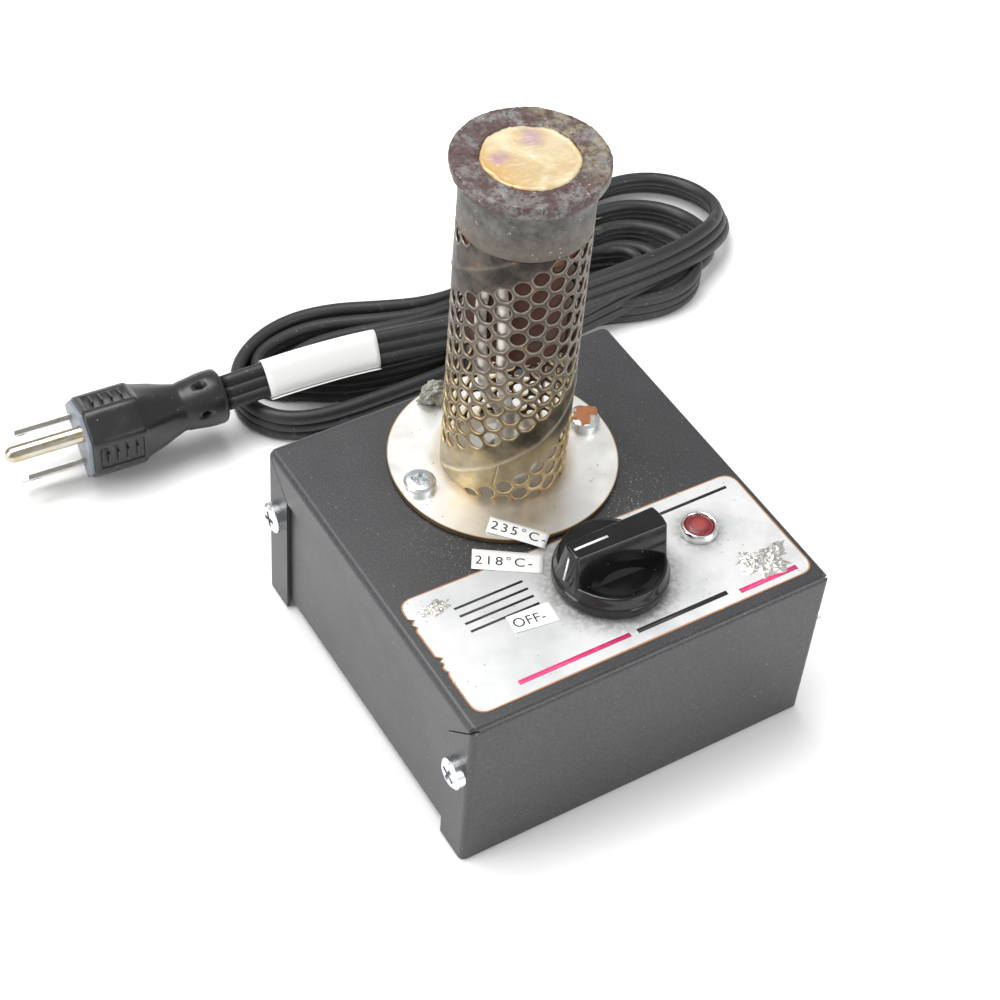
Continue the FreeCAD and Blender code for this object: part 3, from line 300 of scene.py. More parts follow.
def pot_iron(name):
    """The pot's outside: red-brown and grey scale on the rim, grey below with a brown tint."""
    paint = Paint(name, roughness=0.6, metallic=0.35)
    coarse = paint.noise(150, 8, 0.78)
    fine = paint.noise(620, 7, 0.76)
    blend = paint.plus(paint.times(coarse, 0.72), paint.times(fine, 0.28))
    rim = paint.mix(paint.step(blend, 0.46, 0.58), (0.085, 0.050, 0.047), (0.20, 0.19, 0.188))
    pits = paint.below(paint.noise(900, 5, 0.7), 0.38, 0.44)
    rim = paint.mix(paint.times(pits, 0.8), rim, (0.022, 0.017, 0.015))
    right = paint.step(paint.axis("X"), 0.004, 0.016)
    crust = paint.times(paint.patches(0.45, 0.58, 260, 7, 0.75), right)
    rim = paint.mix(paint.times(crust, 0.75), rim, (0.30, 0.27, 0.17))
    body = paint.mix(paint.step(blend, 0.38, 0.62), (0.055, 0.053, 0.049), (0.155, 0.15, 0.138))
    foot = paint.below(paint.axis("Z"), 0.1315, 0.1395)
    body = paint.mix(paint.times(foot, 0.5), body, (0.15, 0.112, 0.08))
    low = paint.step(paint.axis("Z"), 0.1425, 0.1447)
    paint.ground(low, body, rim)
    paint.layer(specks(paint, 700, 0.18, 0.45), (0.45, 0.40, 0.31))
    paint.rough(fine, 0.42, 0.30)
    paint.bump(paint.cells(420), 0.22, 0.16)
    paint.bump(fine, 0.45, 0.2)
    return paint.bump(coarse, 0.35, 0.8)


def solder_face(name):
    """Frozen solder: cream, golden at its left edge, with purple films and fine lines."""
    paint = Paint(name, roughness=0.42, metallic=0.3)
    cloud = paint.noise(85, 5, 0.6, distort=1.4)
    paint.ground(paint.step(cloud, 0.35, 0.68), (0.55, 0.41, 0.22), (0.66, 0.57, 0.39))
    left = paint.step(paint.axis("X"), -0.0105, -0.003, 0.0, 0.8)
    paint.layer(left, (0.58, 0.35, 0.13))
    violet = paint.patches(0.40, 0.56, 150, 3, 0.5)
    film = paint.step(paint.reach(mm(-6.4, 23.0, 0)), 0.0010, 0.0036, 0.0, 0.8)
    second = paint.step(paint.reach(mm(3.6, 26.6, 0)), 0.0012, 0.0050, 0.0, 0.7)
    film = paint.times(paint.math("MAXIMUM", film, second), violet)
    paint.layer(film, (0.40, 0.25, 0.33))
    line = paint.patches(0.60, 0.64, 150, 3, 0.5, (1, 4, 1), 2.0)
    paint.layer(line, (0.90, 0.84, 0.70), 0.2)
    paint.rough(paint.noise(300, 4), 0.3, 0.22)
    paint.bump(paint.noise(260, 5, 0.6, (1, 3, 1), 1.0), 0.22, 0.2)
    return paint.bump(paint.noise(60, 3), 0.4, 0.5)


def splash_metal(name):
    """Grey dross and splashed solder."""
    paint = Paint(name, roughness=0.3, metallic=0.75)
    cloud = paint.noise(420, 5, 0.6)
    paint.ground(cloud, (0.34, 0.33, 0.31), (0.82, 0.80, 0.76))
    paint.rough(paint.noise(900, 4), 0.4, 0.12)
    return paint.bump(paint.noise(700, 5, 0.65), 0.6, 0.3)


def crusted_screw(name):
    """Solder with rust-brown patches, over a screw."""
    paint = Paint(name, roughness=0.5, metallic=0.7)
    patch = paint.patches(0.48, 0.54, 160, 4)
    paint.ground(paint.noise(500, 5), (0.42, 0.41, 0.38), (0.78, 0.76, 0.72))
    paint.layer(patch, (0.42, 0.19, 0.09))
    paint.rough(patch, 0.4, 0.3)
    return paint.bump(paint.noise(600, 6, 0.7), 0.7, 0.3)


def moulded(name, colour, roughness, grain=900.0, dust=0.0, strength=0.2):
    """A moulded plastic or rubber with fine grain and a little dust."""
    paint = Paint(name, roughness=roughness)
    lighter = tuple(min(1.0, channel * 1.6 + 0.004) for channel in colour)
    paint.ground(paint.noise(140, 5), colour, lighter)
    if dust:
        paint.layer(specks(paint, 560, 0.15, 0.43), (0.42, 0.41, 0.39), dust)
        film = paint.patches(0.50, 0.72, 60, 5, 0.65)
        paint.layer(film, (0.35, 0.34, 0.32), dust * 0.12)
    paint.rough(paint.noise(grain * 0.4, 4), 0.18, max(0.03, roughness - 0.09))
    return paint.bump(paint.noise(grain, 4), strength, 0.05)


def cord_rubber(name):
    """Dusty black rubber, with painted shade darkening the grooves between the cores."""
    paint = Paint(name, roughness=0.5)
    paint.ground(paint.noise(90, 5), (0.0085, 0.009, 0.0095), (0.024, 0.0245, 0.025))
    worn = paint.patches(0.60, 0.72, 230, 5, 0.65)
    paint.layer(worn, (0.15, 0.15, 0.145), 0.35)
    paint.layer(specks(paint, 600, 0.14, 0.44), (0.36, 0.35, 0.33), 0.5)
    # painted shade: the grooves between the cores darkened nearly to black
    groove_shade = paint.attribute("groove_shade")
    paint.layer(groove_shade, (0.003, 0.003, 0.003), 0.8)
    paint.rough(paint.noise(400, 4), 0.16, 0.40)
    return paint.bump(paint.noise(1500, 4), 0.22, 0.05)


def brass_pin(name):
    """Nickel worn through to brass."""
    paint = Paint(name, roughness=0.2, metallic=1.0)
    wear = paint.patches(0.42, 0.66, 170, 5, 0.6, (1, 3, 3))
    paint.ground(wear, (0.56, 0.53, 0.46), (0.46, 0.37, 0.21))
    paint.rough(paint.noise(600, 4), 0.22, 0.10)
    return paint.bump(paint.noise(1400, 3, 0.5, (0.2, 1, 1)), 0.2, 0.04)


def nickel(name):
    """Stained nickel plate with grain along it."""
    paint = Paint(name, roughness=0.22, metallic=1.0)
    stain = paint.patches(0.5, 0.7, 260, 5, 0.6)
    paint.ground(stain, (0.50, 0.49, 0.45), (0.36, 0.33, 0.27))
    paint.rough(paint.noise(700, 4), 0.2, 0.12)
    return paint.bump(paint.noise(1600, 3, 0.5, (0.15, 1, 1)), 0.2, 0.04)


def paper(name, tone=0.86):
    """White paper, a little uneven."""
    paint = Paint(name, roughness=0.75)
    paint.ground(paint.noise(120, 5), (tone, tone, tone * 0.985),
                 (tone * 0.93, tone * 0.93, tone * 0.91))
    return paint.bump(paint.noise(1800, 4), 0.15, 0.04)


def label_film(name):
    """The silver-white face label: wrinkled, with painted shade round the bases of the knob and the
    lamp.
    """
    paint = Paint(name, roughness=0.36, metallic=0.15)
    cloud = paint.noise(55, 5, 0.6)
    paint.ground(paint.step(cloud, 0.35, 0.7), (0.69, 0.69, 0.69), (0.52, 0.525, 0.53))
    left = paint.below(paint.axis("X"), -0.034, 0.012)
    paint.layer(left, (0.46, 0.47, 0.48), 0.35)
    fine = paint.noise(700, 6, 0.7)
    # painted shade in a mottled ring round the base of the knob and of the lamp
    for point, near, far, depth in ((KNOB, 0.0146, 0.0205, 0.75), (LAMP, 0.0045, 0.0085, 0.6)):
        ring = paint.below(paint.reach(point * MM), near, far)
        base_shade = paint.times(ring, paint.step(fine, 0.36, 0.60, 0.95, 0.35))
        paint.layer(base_shade, (0.17, 0.165, 0.16), depth)
    paint.layer(specks(paint, 640, 0.14, 0.46), (0.25, 0.24, 0.23))
    paint.rough(paint.noise(200, 4), 0.22, 0.24)
    paint.bump(paint.noise(210, 5, 0.6), 0.20, 0.16)
    return paint.bump(paint.noise(60, 3, 0.5, distort=1.0), 0.30, 0.35)


def print_ink(name, colour):
    """Printed ink with worn, lighter spots."""
    paint = Paint(name, roughness=0.45)
    paint.ground(paint.patches(0.55, 0.75, 500, 5, 0.7), colour,
                 tuple(min(1.0, channel * 1.5 + 0.05) for channel in colour))
    return paint.bump(paint.noise(900, 3), 0.1, 0.02)


def lens_red(name):
    """Dark red lens with a fine diamond grid moulded inside and painted light brightening its
    middle.
    """
    paint = Paint(name, roughness=0.16, IOR=1.5)
    grid = paint.cells(2100, 0.0)
    paint.ground(paint.step(grid, 0.18, 0.55), (0.40, 0.045, 0.045), (0.13, 0.008, 0.012))
    # painted light: the lens brighter towards its middle
    painted_centre_light = paint.step(paint.reach(LAMP * MM), 0.0, 0.0036, 0.0, 0.35)
    paint.layer(painted_centre_light, (0.50, 0.12, 0.11))
    return paint.bump(grid, 0.5, 0.15)


def chrome(name):
    """Spotted chrome."""
    paint = Paint(name, roughness=0.12, metallic=1.0)
    paint.ground(paint.patches(0.5, 0.75, 500, 5), (0.84, 0.84, 0.84), (0.52, 0.49, 0.44))
    paint.rough(paint.noise(900, 4), 0.2, 0.06)
    return paint.bump(paint.noise(1500, 3), 0.15, 0.04)


def woven(name):
    """Woven glass sleeve, off-white with brown scorches."""
    paint = Paint(name, roughness=0.8)
    scorch = paint.patches(0.48, 0.66, 120, 5)
    paint.ground(scorch, (0.70, 0.66, 0.60), (0.34, 0.26, 0.19))
    return paint.bump(paint.cells(1400), 0.5, 0.2)


def clear_glass(name):
    """Clear glass, slightly warm."""
    paint = Paint(name, roughness=0.06, Transmission_Weight=0.85, IOR=1.45)
    paint.ground(paint.noise(200, 3), (0.95, 0.92, 0.88), (0.86, 0.82, 0.76))
    return paint.bump(paint.noise(600, 2), 0.1, 0.05)


COAT = powder_coat("black_powder_coat")
ZINC = zinc("zinc_steel")
PLASTIC = moulded("plug_moulding", (0.0095, 0.0098, 0.0108), 0.34, 1200, 0.4, 0.25)
KNOB_PLASTIC = moulded("black_knob", (0.0035, 0.0035, 0.004), 0.12, 500, 0.3, 0.05)
RUBBER = cord_rubber("black_rubber")
NICKEL = nickel("nickel_lead")
PAPER = paper("white_paper")
SPLASH = splash_metal("splashed_solder")
INK_BLACK = print_ink("ink_black", (0.012, 0.012, 0.014))
INK_PINK = print_ink("ink_pink", (0.62, 0.035, 0.16))

SHARED_MATERIALS = {
    COAT: ("enclosure_cover", "base_chassis"),
    ZINC: ("case_screws", "flange_nuts", "flange_screws", "switch_washer", "switch_nut",
           "pilot_clip", "ground_screw", "ground_nut", "heater_terminals"),
    NICKEL: ("heater_leads", "switch_shaft", "switch_terminals", "ground_lug"),
    RUBBER: ("cord_stub",),
}
OWN_MATERIALS = {
    "rubber_feet": moulded("foot_rubber", (0.02, 0.02, 0.02), 0.7, 700, 0.3),
    "tower_flange": disc_metal("bright_aluminium"),
    "flange_gasket": moulded("heat_gasket", (0.05, 0.04, 0.03), 0.85, 600),
    "heater_band": rust("heater_scale", 0.35),
    "tower_bushing": paper("ceramic_bushing", 0.80),
    "lead_sleeves": woven("glass_sleeve"),
    "switch_body": moulded("switch_moulding", (0.05, 0.04, 0.032), 0.5, 600),
    "pilot_housing": moulded("lamp_plastic", (0.05, 0.05, 0.05), 0.5, 600),
    "pilot_lamp": clear_glass("lamp_glass"),
    "wire_connectors": moulded("cap_plastic", (0.55, 0.53, 0.46), 0.45, 500),
    "rectifier_diode": moulded("diode_case", (0.02, 0.02, 0.022), 0.4, 600),
    "earth_wire": moulded("green_wire", (0.03, 0.17, 0.06), 0.45, 600),
    "live_wire": moulded("black_wire", (0.018, 0.018, 0.018), 0.45, 600),
    "heater_wire": moulded("black_wire_two", (0.018, 0.018, 0.018), 0.45, 600),
    "neutral_wire": moulded("white_wire", (0.72, 0.72, 0.70), 0.45, 600),
    "pilot_leads": moulded("lamp_leads", (0.72, 0.72, 0.70), 0.45, 600),
}


def paint_nodes():
    """The frame's own pieces keep their shape and get these materials."""
    chosen = dict(OWN_MATERIALS)
    for material, names in SHARED_MATERIALS.items():
        chosen.update(dict.fromkeys(names, material))
    for name, material in chosen.items():
        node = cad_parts[name]
        node.data.materials.clear()
        node.data.materials.append(material)
        for slot in node.material_slots:
            slot.material = material


# ---- mesh helpers ----------------------------------------------------------------------------

def linked(name, data):
    """A new object in the scene."""
    item = bpy.data.objects.new(name, data)
    bpy.context.scene.collection.objects.link(item)
    return item


def shade_smooth(mesh, smooth=True):
    for polygon in mesh.polygons:
        polygon.use_smooth = smooth


def add_mesh(name, vertices, faces, *materials, smooth=True):
    """An object made of vertices in metres and faces."""
    mesh = bpy.data.meshes.new(name)
    mesh.from_pydata([tuple(vertex) for vertex in vertices], [], faces)
    for material in materials:
        mesh.materials.append(material)
    shade_smooth(mesh, smooth)
    return linked(name, mesh)


def from_bmesh(work, name):
    """A mesh made from a bmesh, which is freed."""
    mesh = bpy.data.meshes.new(name)
    work.to_mesh(mesh)
    work.free()
    return mesh


def curve_mesh(data):
    """The mesh of a curve or of a text, with no material."""
    item = linked(data.name, data)
    mesh = bpy.data.meshes.new_from_object(item)
    bpy.data.objects.remove(item)
    mesh.materials.clear()
    return mesh


def nurbs(name, points, **settings):
    """The mesh of a smooth line that starts and ends on its end points, given in metres."""
    data = bpy.data.curves.new(name, "CURVE")
    data.dimensions = "3D"
    for key, value in settings.items():
        setattr(data, key, value)
    spline = data.splines.new("NURBS")
    spline.points.add(len(points) - 1)
    for knot, point in zip(spline.points, points):
        knot.co = (*point, 1.0)
    spline.order_u = 3
    spline.use_endpoint_u = True
    return curve_mesh(data)


def wall(rows, count, first=0, closed=True, flip=False):
    """Faces between rows of count vertices; closed joins each row's end to its start."""
    faces = []
    for row in range(rows):
        low = first + row * count
        for index in range(count if closed else count - 1):
            after = (index + 1) % count
            face = (low + index, low + after, low + count + after, low + count + index)
            faces.append(face[:1] + face[:0:-1] if flip else face)
    return faces


def disc_faces(rings, segments):
    """Faces of a disc: vertex 0 in the middle and rings round it."""
    fan = [(0, 1 + index, 1 + (index + 1) % segments) for index in range(segments)]
    return fan + wall(rings - 1, segments, first=1, flip=True)


def circle(segments):
    """Evenly spaced angles once round, in radians."""
    return [2 * math.pi * index / segments for index in range(segments)]


def spin(angle, axis):
    """A turn about one axis, in degrees."""
    return Matrix.Rotation(math.radians(angle), 4, axis)


def shift(x, y, z):
    """A move in millimetres."""
    return Matrix.Translation(mm(x, y, z))


def piece(item, body, slot, *nodes):
    """Tie a piece to its body, in place of the nodes it stands for; the slot is not used."""
    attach(item, body)
    if nodes:
        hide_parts(*nodes)
    return item


def freeze(item):
    """Apply every modifier of an object to its mesh."""
    graph = bpy.context.evaluated_depsgraph_get()
    mesh = bpy.data.meshes.new_from_object(item.evaluated_get(graph))
    item.modifiers.clear()
    item.data = mesh
    return item


def modify(item, kind, **settings):
    """Add a modifier with its settings."""
    modifier = item.modifiers.new(kind, kind)
    for key, value in settings.items():
        setattr(modifier, key, value)


def bevel(item, width, segments=2, angle=30):
    """Round the sharp edges and keep flat faces flat."""
    modify(item, "BEVEL", width=width * MM, segments=segments, limit_method="ANGLE",
           angle_limit=math.radians(angle), harden_normals=False)
    modify(item, "WEIGHTED_NORMAL", keep_sharp=True)
    return freeze(item)


def thicken(item, thickness, offset=0, **settings):
    """Give a sheet its thickness, in millimetres."""
    modify(item, "SOLIDIFY", thickness=thickness * MM, offset=offset, **settings)
    return freeze(item)


def carve(item, cutter):
    """Cut one mesh out of another, then remove the cutter."""
    modify(item, "BOOLEAN", operation="DIFFERENCE", object=cutter, solver="EXACT")
    freeze(item)
    bpy.data.objects.remove(cutter)


def bend(start, corner, end, steps):
    """Points along a smooth curve round a corner."""
    line = []
    for step in range(steps + 1):
        t = step / steps
        line.append(start * (1 - t) ** 2 + corner * (2 * t * (1 - t)) + end * t ** 2)
    return line


def rounded(points, radius, steps=4):
    """A profile with its inner corners rounded; points are (r, z) pairs in millimetres."""
    points = [Vector(point) for point in points]
    line = [points[0]]
    for before, corner, after in zip(points, points[1:], points[2:]):
        reach = min(radius, 0.45 * (corner - before).length, 0.45 * (after - corner).length)
        line += bend(corner + (before - corner).normalized() * reach, corner,
                     corner + (after - corner).normalized() * reach, steps)
    return line + [points[-1]]


def split(points, longest, closed=False):
    """The same line with points added wherever a step is longer than asked."""
    dense = []
    for start, end in zip(points, points[1:] + points[:1] if closed else points[1:]):
        pieces = max(1, int((end - start).length / longest))
        dense += [start.lerp(end, step / pieces) for step in range(pieces)]
    return dense if closed else dense + [points[-1]]


def lathe(name, profile, material, centre=Vector((0, 0, 0)), segments=96):
    """A turned piece: the profile swept round a vertical axis through the centre."""
    vertices = [mm(centre.x + radius * math.cos(angle), centre.y + radius * math.sin(angle),
                   centre.z + height)
                for radius, height in profile for angle in circle(segments)]
    item = add_mesh(name, vertices, wall(len(profile) - 1, segments), material)
    work = bmesh.new()
    work.from_mesh(item.data)
    bmesh.ops.remove_doubles(work, verts=work.verts, dist=1e-6)
    bmesh.ops.recalc_face_normals(work, faces=work.faces)
    work.to_mesh(item.data)
    work.free()
    shade_smooth(item.data)
    return item


def prism(name, outline, low, high, material, taper=None):
    """A block over an outline of (x, y) points; taper gives another outline for its top."""
    count = len(outline)
    vertices = [mm(x, y, low) for x, y in outline]
    vertices += [mm(x, y, high) for x, y in taper or outline]
    faces = [tuple(range(count - 1, -1, -1)), tuple(range(count, 2 * count))]
    return add_mesh(name, vertices, faces + wall(1, count), material)


def bar_block(size, place, turn, material):
    """A small rounded bar; size and place in millimetres."""
    x, y, z = (0.5 * edge for edge in size)
    item = prism("bar", [(-x, -y), (x, -y), (x, y), (-x, y)], -z, z, material)
    bevel(item, 0.3 * min(size))
    item.data.transform(shift(*place) @ turn)
    return item


def drill(item, radius, half, here, material, segments):
    """Bore a round hole through a piece; the hole's axis is Z before here places it."""
    hole = lathe("bore", [(0, -half), (radius, -half), (radius, half), (0, half)], material,
                 segments=segments)
    hole.data.transform(here)
    carve(item, hole)


def roughen(item, amount, scale, seed, lowest):
    """Push the vertices over a height in and out by smooth noise; lengths in millimetres."""
    mesh = item.data
    normals = [vertex.normal.copy() for vertex in mesh.vertices]
    for vertex, normal in zip(mesh.vertices, normals):
        if vertex.co.z > lowest * MM:
            point = vertex.co * scale + Vector((seed, seed * 0.7, seed * 1.3))
            vertex.co += normal * (noise.fractal(point, 0.9, 2.1, 4) * amount * MM)
    mesh.update()


def join(name, items):
    """One object from several meshes that share a body."""
    work = bmesh.new()
    materials = []
    for item in items:
        part = bmesh.new()
        part.from_mesh(item.data)
        part.transform(item.matrix_world)
        for face in part.faces:
            face.material_index += len(materials)
        materials += list(item.data.materials)
        mesh = from_bmesh(part, "part")
        work.from_mesh(mesh)
        bpy.data.meshes.remove(mesh)
    result = linked(name, from_bmesh(work, name))
    for material in materials:
        result.data.materials.append(material)
    for item in items:
        bpy.data.objects.remove(item)
    return result


# ---- camera, floor and light -----------------------------------------------------------------

def add_camera():
    """The view from the front left, a little over 45 degrees down, held slightly turned."""
    azimuth, elevation, roll = (math.radians(angle) for angle in (-35.05, 46.74, 5.47))
    forward = Vector((-math.sin(azimuth) * math.cos(elevation),
                      math.cos(azimuth) * math.cos(elevation), -math.sin(elevation)))
    side = forward.cross(UP).normalized()
    right = side * math.cos(roll) + side.cross(forward) * math.sin(roll)
    data = bpy.data.cameras.new("camera")
    data.lens = 80.16
    data.sensor_width = 36
    data.clip_start = 0.01
    camera = linked("camera", data)
    turn = Matrix((right, right.cross(forward), -forward)).transposed()
    camera.matrix_world = shift(-225.57, -301.74, 454.28) @ turn.to_4x4()
    bpy.context.scene.camera = camera


def add_light(name, place, aim, size, power):
    """A white soft box that points at a place; lengths in metres."""
    data = bpy.data.lights.new(name, "AREA")
    data.shape = "RECTANGLE"
    data.size, data.size_y = size
    data.energy = power
    item = linked(name, data)
    item.location = place
    item.rotation_euler = (Vector(aim) - Vector(place)).to_track_quat("-Z", "Y").to_euler()


def add_studio():
    """A pale bench and three soft boxes: a large one overhead, one to the left, one in front."""
    paint = Paint("bench_paint", roughness=0.65)
    paint.ground(paint.noise(6, 3), (0.93, 0.93, 0.935), (0.95, 0.95, 0.95))
    half = 6
    floor = add_mesh("bench_floor",
                     [(-half, -half, 0), (half, -half, 0), (half, half, 0), (-half, half, 0)],
                     [(0, 1, 2, 3)], paint.material)
    add_light("overhead_box", (-0.15, 0.35, 1.1), (0, 0.03, 0.03), (0.9, 0.7), 13.0)
    add_light("left_box", (-1.0, 0.15, 0.55), (0, 0, 0.05), (0.5, 0.9), 7.0)
    add_light("front_box", (0.45, -0.95, 0.6), (0, 0, 0.05), (0.8, 0.5), 6.0)
    world = bpy.data.worlds.new("studio")
    world.use_nodes = True
    sky = world.node_tree.nodes["Background"].inputs
    sky["Color"].default_value = (1.0, 1.0, 1.0, 1.0)
    sky["Strength"].default_value = 0.50
    scene = bpy.context.scene
    scene.world = world
    scene.view_settings.view_transform = "Standard"
    scene.view_settings.look = "None"


# ---- the cord --------------------------------------------------------------------------------

# Route from the boot's mouth to the plug, in millimetres. Each stretch has its usual height and
# its points: x, y, then the lean of the flat section where it isn't 0, then the height where it
# isn't the usual one. A lean of 0 stands the cord on its edge and 90 lays it flat; a minus leans
# its top edge to the inside of the turns. Each turn starts at its left end and runs clockwise.
FLOOR_LINE = 5.05
ROUTE = {
    "lead": (12, [(34, 70.8, 90), (34, 77.3, 90), (35, 84, 90, 12.3), (38, 91, 80, 12.8),
        (41.5, 97.5, 60, 13.6), (43.4, 104, 30, 14.6), (44, 110, 8, 15.1)]),
    "put_away": (15.1, [(45.2, 116), (49.5, 121), (57, 122.8), (66, 123), (76, 123.2),
        (83.6, 121.6), (87, 117), (86, 111), (82, 106), (75, 103.7), (66, 103.5), (56.5, 103.7),
        (51, 105.8), (48.4, 110.4), (50, 115.6), (55, 118.4), (63, 118.7), (72, 118.8),
        (78.5, 117.8), (82, 114.2), (80.6, 109.8), (75, 107.8), (67, 107.7), (59, 107.8),
        (54.6, 109), (53, 111.4), (54.8, 113.6), (60, 114.3), (67, 114), (74, 113.6, 0, 14.2),
        (81, 113.8, 0, 12.2), (88.5, 115.4, -5, 8.6)]),
    "fifth": (FLOOR_LINE, [(97, 117.2), (103.5, 115.3), (106.5, 111), (104, 106.4), (96, 104.6),
        (84, 105.6), (62, 107), (44, 106.8), (30, 107.2), (20, 108.2), (13.6, 109)]),
    "fourth": (FLOOR_LINE, [(9.8, 111.6), (10.6, 115.2), (15.4, 116.6), (22, 115.8), (31, 113.6),
        (42, 111.7), (60, 111.2), (78, 113.8), (92, 117), (100, 118), (106.5, 116), (111, 111.5),
        (111.5, 106.5), (106.5, 102.3), (96, 101.3), (82, 102), (62, 102.9), (44, 102.7),
        (30, 103), (16, 105), (5, 108), (-3, 110.4)]),
    "third": (FLOOR_LINE, [(-8.4, 112.4), (-10.4, 115.6), (-8.6, 118.8), (-3, 120.4), (5, 120.6),
        (14, 119), (26, 116.4), (42, 115.4), (60, 115.4), (78, 119.4), (92, 124.3),
        (102, 127, -15), (110, 126.6, -20), (117, 122.4, -20), (121.5, 115), (123.8, 107),
        (121.5, 99.3), (115, 93.8), (106, 91.5), (96, 93), (86, 96.8), (74, 98.6), (60, 98.7),
        (44, 98.4), (30, 98.4), (16, 99.8), (4, 102.1), (-4, 105.3), (-9.5, 109), (-14.5, 111.6)]),
    "second": (FLOOR_LINE, [(-18.6, 114.4), (-20, 118), (-18.5, 122), (-14, 125.4), (-6, 127.4),
        (3, 127.3), (13, 124.4), (24, 120.3), (36, 117.2), (48, 117.6), (62, 120), (78, 125.5),
        (93, 131.5), (104, 135, -15), (114, 135, -20), (123, 131, -20), (129.5, 124.5, -20),
        (132.3, 116.5, -20, 5.5), (131, 108, -20, 7.5), (125, 102, -25, 9.5),
        (115, 98.5, -28, 10.5), (104, 96.3, -30, 10.5), (90, 95.2, -22, 9), (77, 95.3, -10, 7),
        (62, 94.6)]),
    "first": (FLOOR_LINE, [(44, 93.8), (26, 92.8), (8, 92.6), (-8, 93), (-17, 94.8), (-23.6, 98.4),
        (-28, 104.5), (-29, 112), (-26, 120.5), (-19.5, 127), (-10.5, 131.6), (0, 133.2),
        (12, 131.2), (24, 126.2), (36, 121.8), (48, 120.6), (62, 123.8), (78, 130.5),
        (94, 139.5, -10), (108, 145, -20), (122, 146, -28), (134, 141.8, -28), (142, 133, -28),
        (143.8, 122, -28, 6), (139.5, 112.5, -28, 8.5)]),
    "tail": (15.5, [(131, 105.5, -28, 11.5), (118, 100, -29, 14), (104, 97.2, -30, 15.2),
        (88, 96.7, -30), (70, 96.9, -31), (50, 97.8, -33, 15.8), (32, 99.3, -36, 16.2),
        (18, 101.5, -38, 16.5), (5, 103.6, -38, 16.9), (-8, 104.9, -38, 17), (-22, 106, -38, 16.6),
        (-36.2, 106.9, -38, 15.8)]),
}
CORE_RADIUS = 2.05
CORE_PITCH = 3.0


def cord_route():
    """Every control point of the cord, as x, y, z and lean."""
    route = []
    for height, points in ROUTE.values():
        for x, y, *rest in points:
            lean, z = rest + [0, height][len(rest):]
            route.append((x, y, z, lean))
    return route


def spline_path(route):
    """Points along the smooth line through a route, with the lean at each."""
    mesh = nurbs("cord_line", [mm(*point[:3]) for point in route], resolution_u=10)
    path = [vertex.co.copy() for vertex in mesh.vertices]
    share = (len(route) - 1) / (len(path) - 1)
    leans = []
    for index in range(len(path)):
        low = min(int(index * share), len(route) - 2)
        t = index * share - low
        leans.append(route[low][3] * (1 - t) + route[low + 1][3] * t)
    return path, leans


def flat_section():
    """Outline of the three-core flat cord: (across, through, groove_shade) points in millimetres;
    groove_shade is 1 in the grooves, where painted shade goes.
    """
    valley = math.degrees(math.acos(CORE_PITCH / 2 / CORE_RADIUS))
    outline = []
    spans = [(CORE_PITCH, -180 + valley, 180 - valley, 13), (0.0, valley, 180 - valley, 5),
             (-CORE_PITCH, valley, 360 - valley, 13), (0.0, 180 + valley, 360 - valley, 5)]
    for centre, start, end, count in spans:
        for step in range(count):
            angle = math.radians(start + (end - start) * step / (count - 1))
            outline.append((centre + CORE_RADIUS * math.cos(angle), CORE_RADIUS * math.sin(angle),
                            1.0 if step in (0, count - 1) else 0.0))
    return outline


def section_frame(path, leans, index):
    """Directions across the cord's width and through its thickness at one point."""
    before = path[max(index - 1, 0)]
    after = path[min(index + 1, len(path) - 1)]
    along = (after - before).normalized()
    level = UP.cross(along).normalized()
    lean = math.radians(leans[index])
    across = along.cross(level) * math.cos(lean) + level * math.sin(lean)
    return across, along.cross(across)


def add_cord():
    """The flat cord swept along its route, as one piece; gives the path and the leans too."""
    path, leans = spline_path(cord_route())
    outline = flat_section()
    vertices = []
    groove_shades = []
    for index, point in enumerate(path):
        across, through = section_frame(path, leans, index)
        for wide, thick, shut in outline:
            vertices.append(point + (across * wide + through * thick) * MM)
            groove_shades.append(shut)
    count = len(outline)
    faces = wall(len(path) - 1, count)
    faces.append(tuple(range(count - 1, -1, -1)))
    faces.append(tuple(range(len(vertices) - count, len(vertices))))
    cord = add_mesh("power_cord", vertices, faces, RUBBER)
    field = cord.data.attributes.new("groove_shade", "FLOAT", "POINT")
    field.data.foreach_set("value", groove_shades)
    return piece(cord, "pot", "black_rubber", "cord_lead", "cord_tail", "cord_hank"), path, leans


def add_strain_relief():
    """The moulded bushing with its ringed, tapered boot, out of the rear wall."""
    profile = [(5.15, -5), (7.0, -5), (7.0, -1), (6.4, -1), (6.4, 0), (8, 0), (8, 2.2), (6.9, 2.2)]
    for ring in range(5):
        start = 3.4 + 3.4 * ring
        radius = 6.8 - 0.27 * ring
        profile += [(radius, start - 0.6), (radius - 0.9, start), (radius - 0.9, start + 0.8),
                    (radius - 0.1, start + 1.3)]
    profile += [(5.7, 20), (5.15, 20), (5.15, 17)]
    boot = lathe("cord_boot", rounded(profile, 0.35, 3), PLASTIC, segments=64)
    boot.data.transform(shift(*CORD_HOLE) @ spin(-90, "X"))
    return piece(boot, "pot", "black_rubber", "strain_relief")


def plug_matrix():
    """Where the plug lies: blades to the left and nose down, earth pin tilted up to the front."""
    turn = spin(174, "Z") @ spin(2.6, "Y") @ spin(-38.4, "X")
    return Matrix.Translation(mm(-77.75, 113.63, 10.82) + turn.to_3x3() @ (UP * 4 * MM)) @ turn


GRIP_CORNERS = [(-11.3, -8.8), (11.3, -8.8), (11.3, -0.4), (4.75, 11.2), (-4.75, 11.2),
                (-11.3, -0.4)]
SLOPE = math.degrees(math.atan2(11.6, 6.55))      # of the grip's two upper facets
BLADE_LEVEL = -4.0
BLADE_OFFSET = 6.35
PIN_RADIUS = 2.3
PIN_LEVEL = 7.9


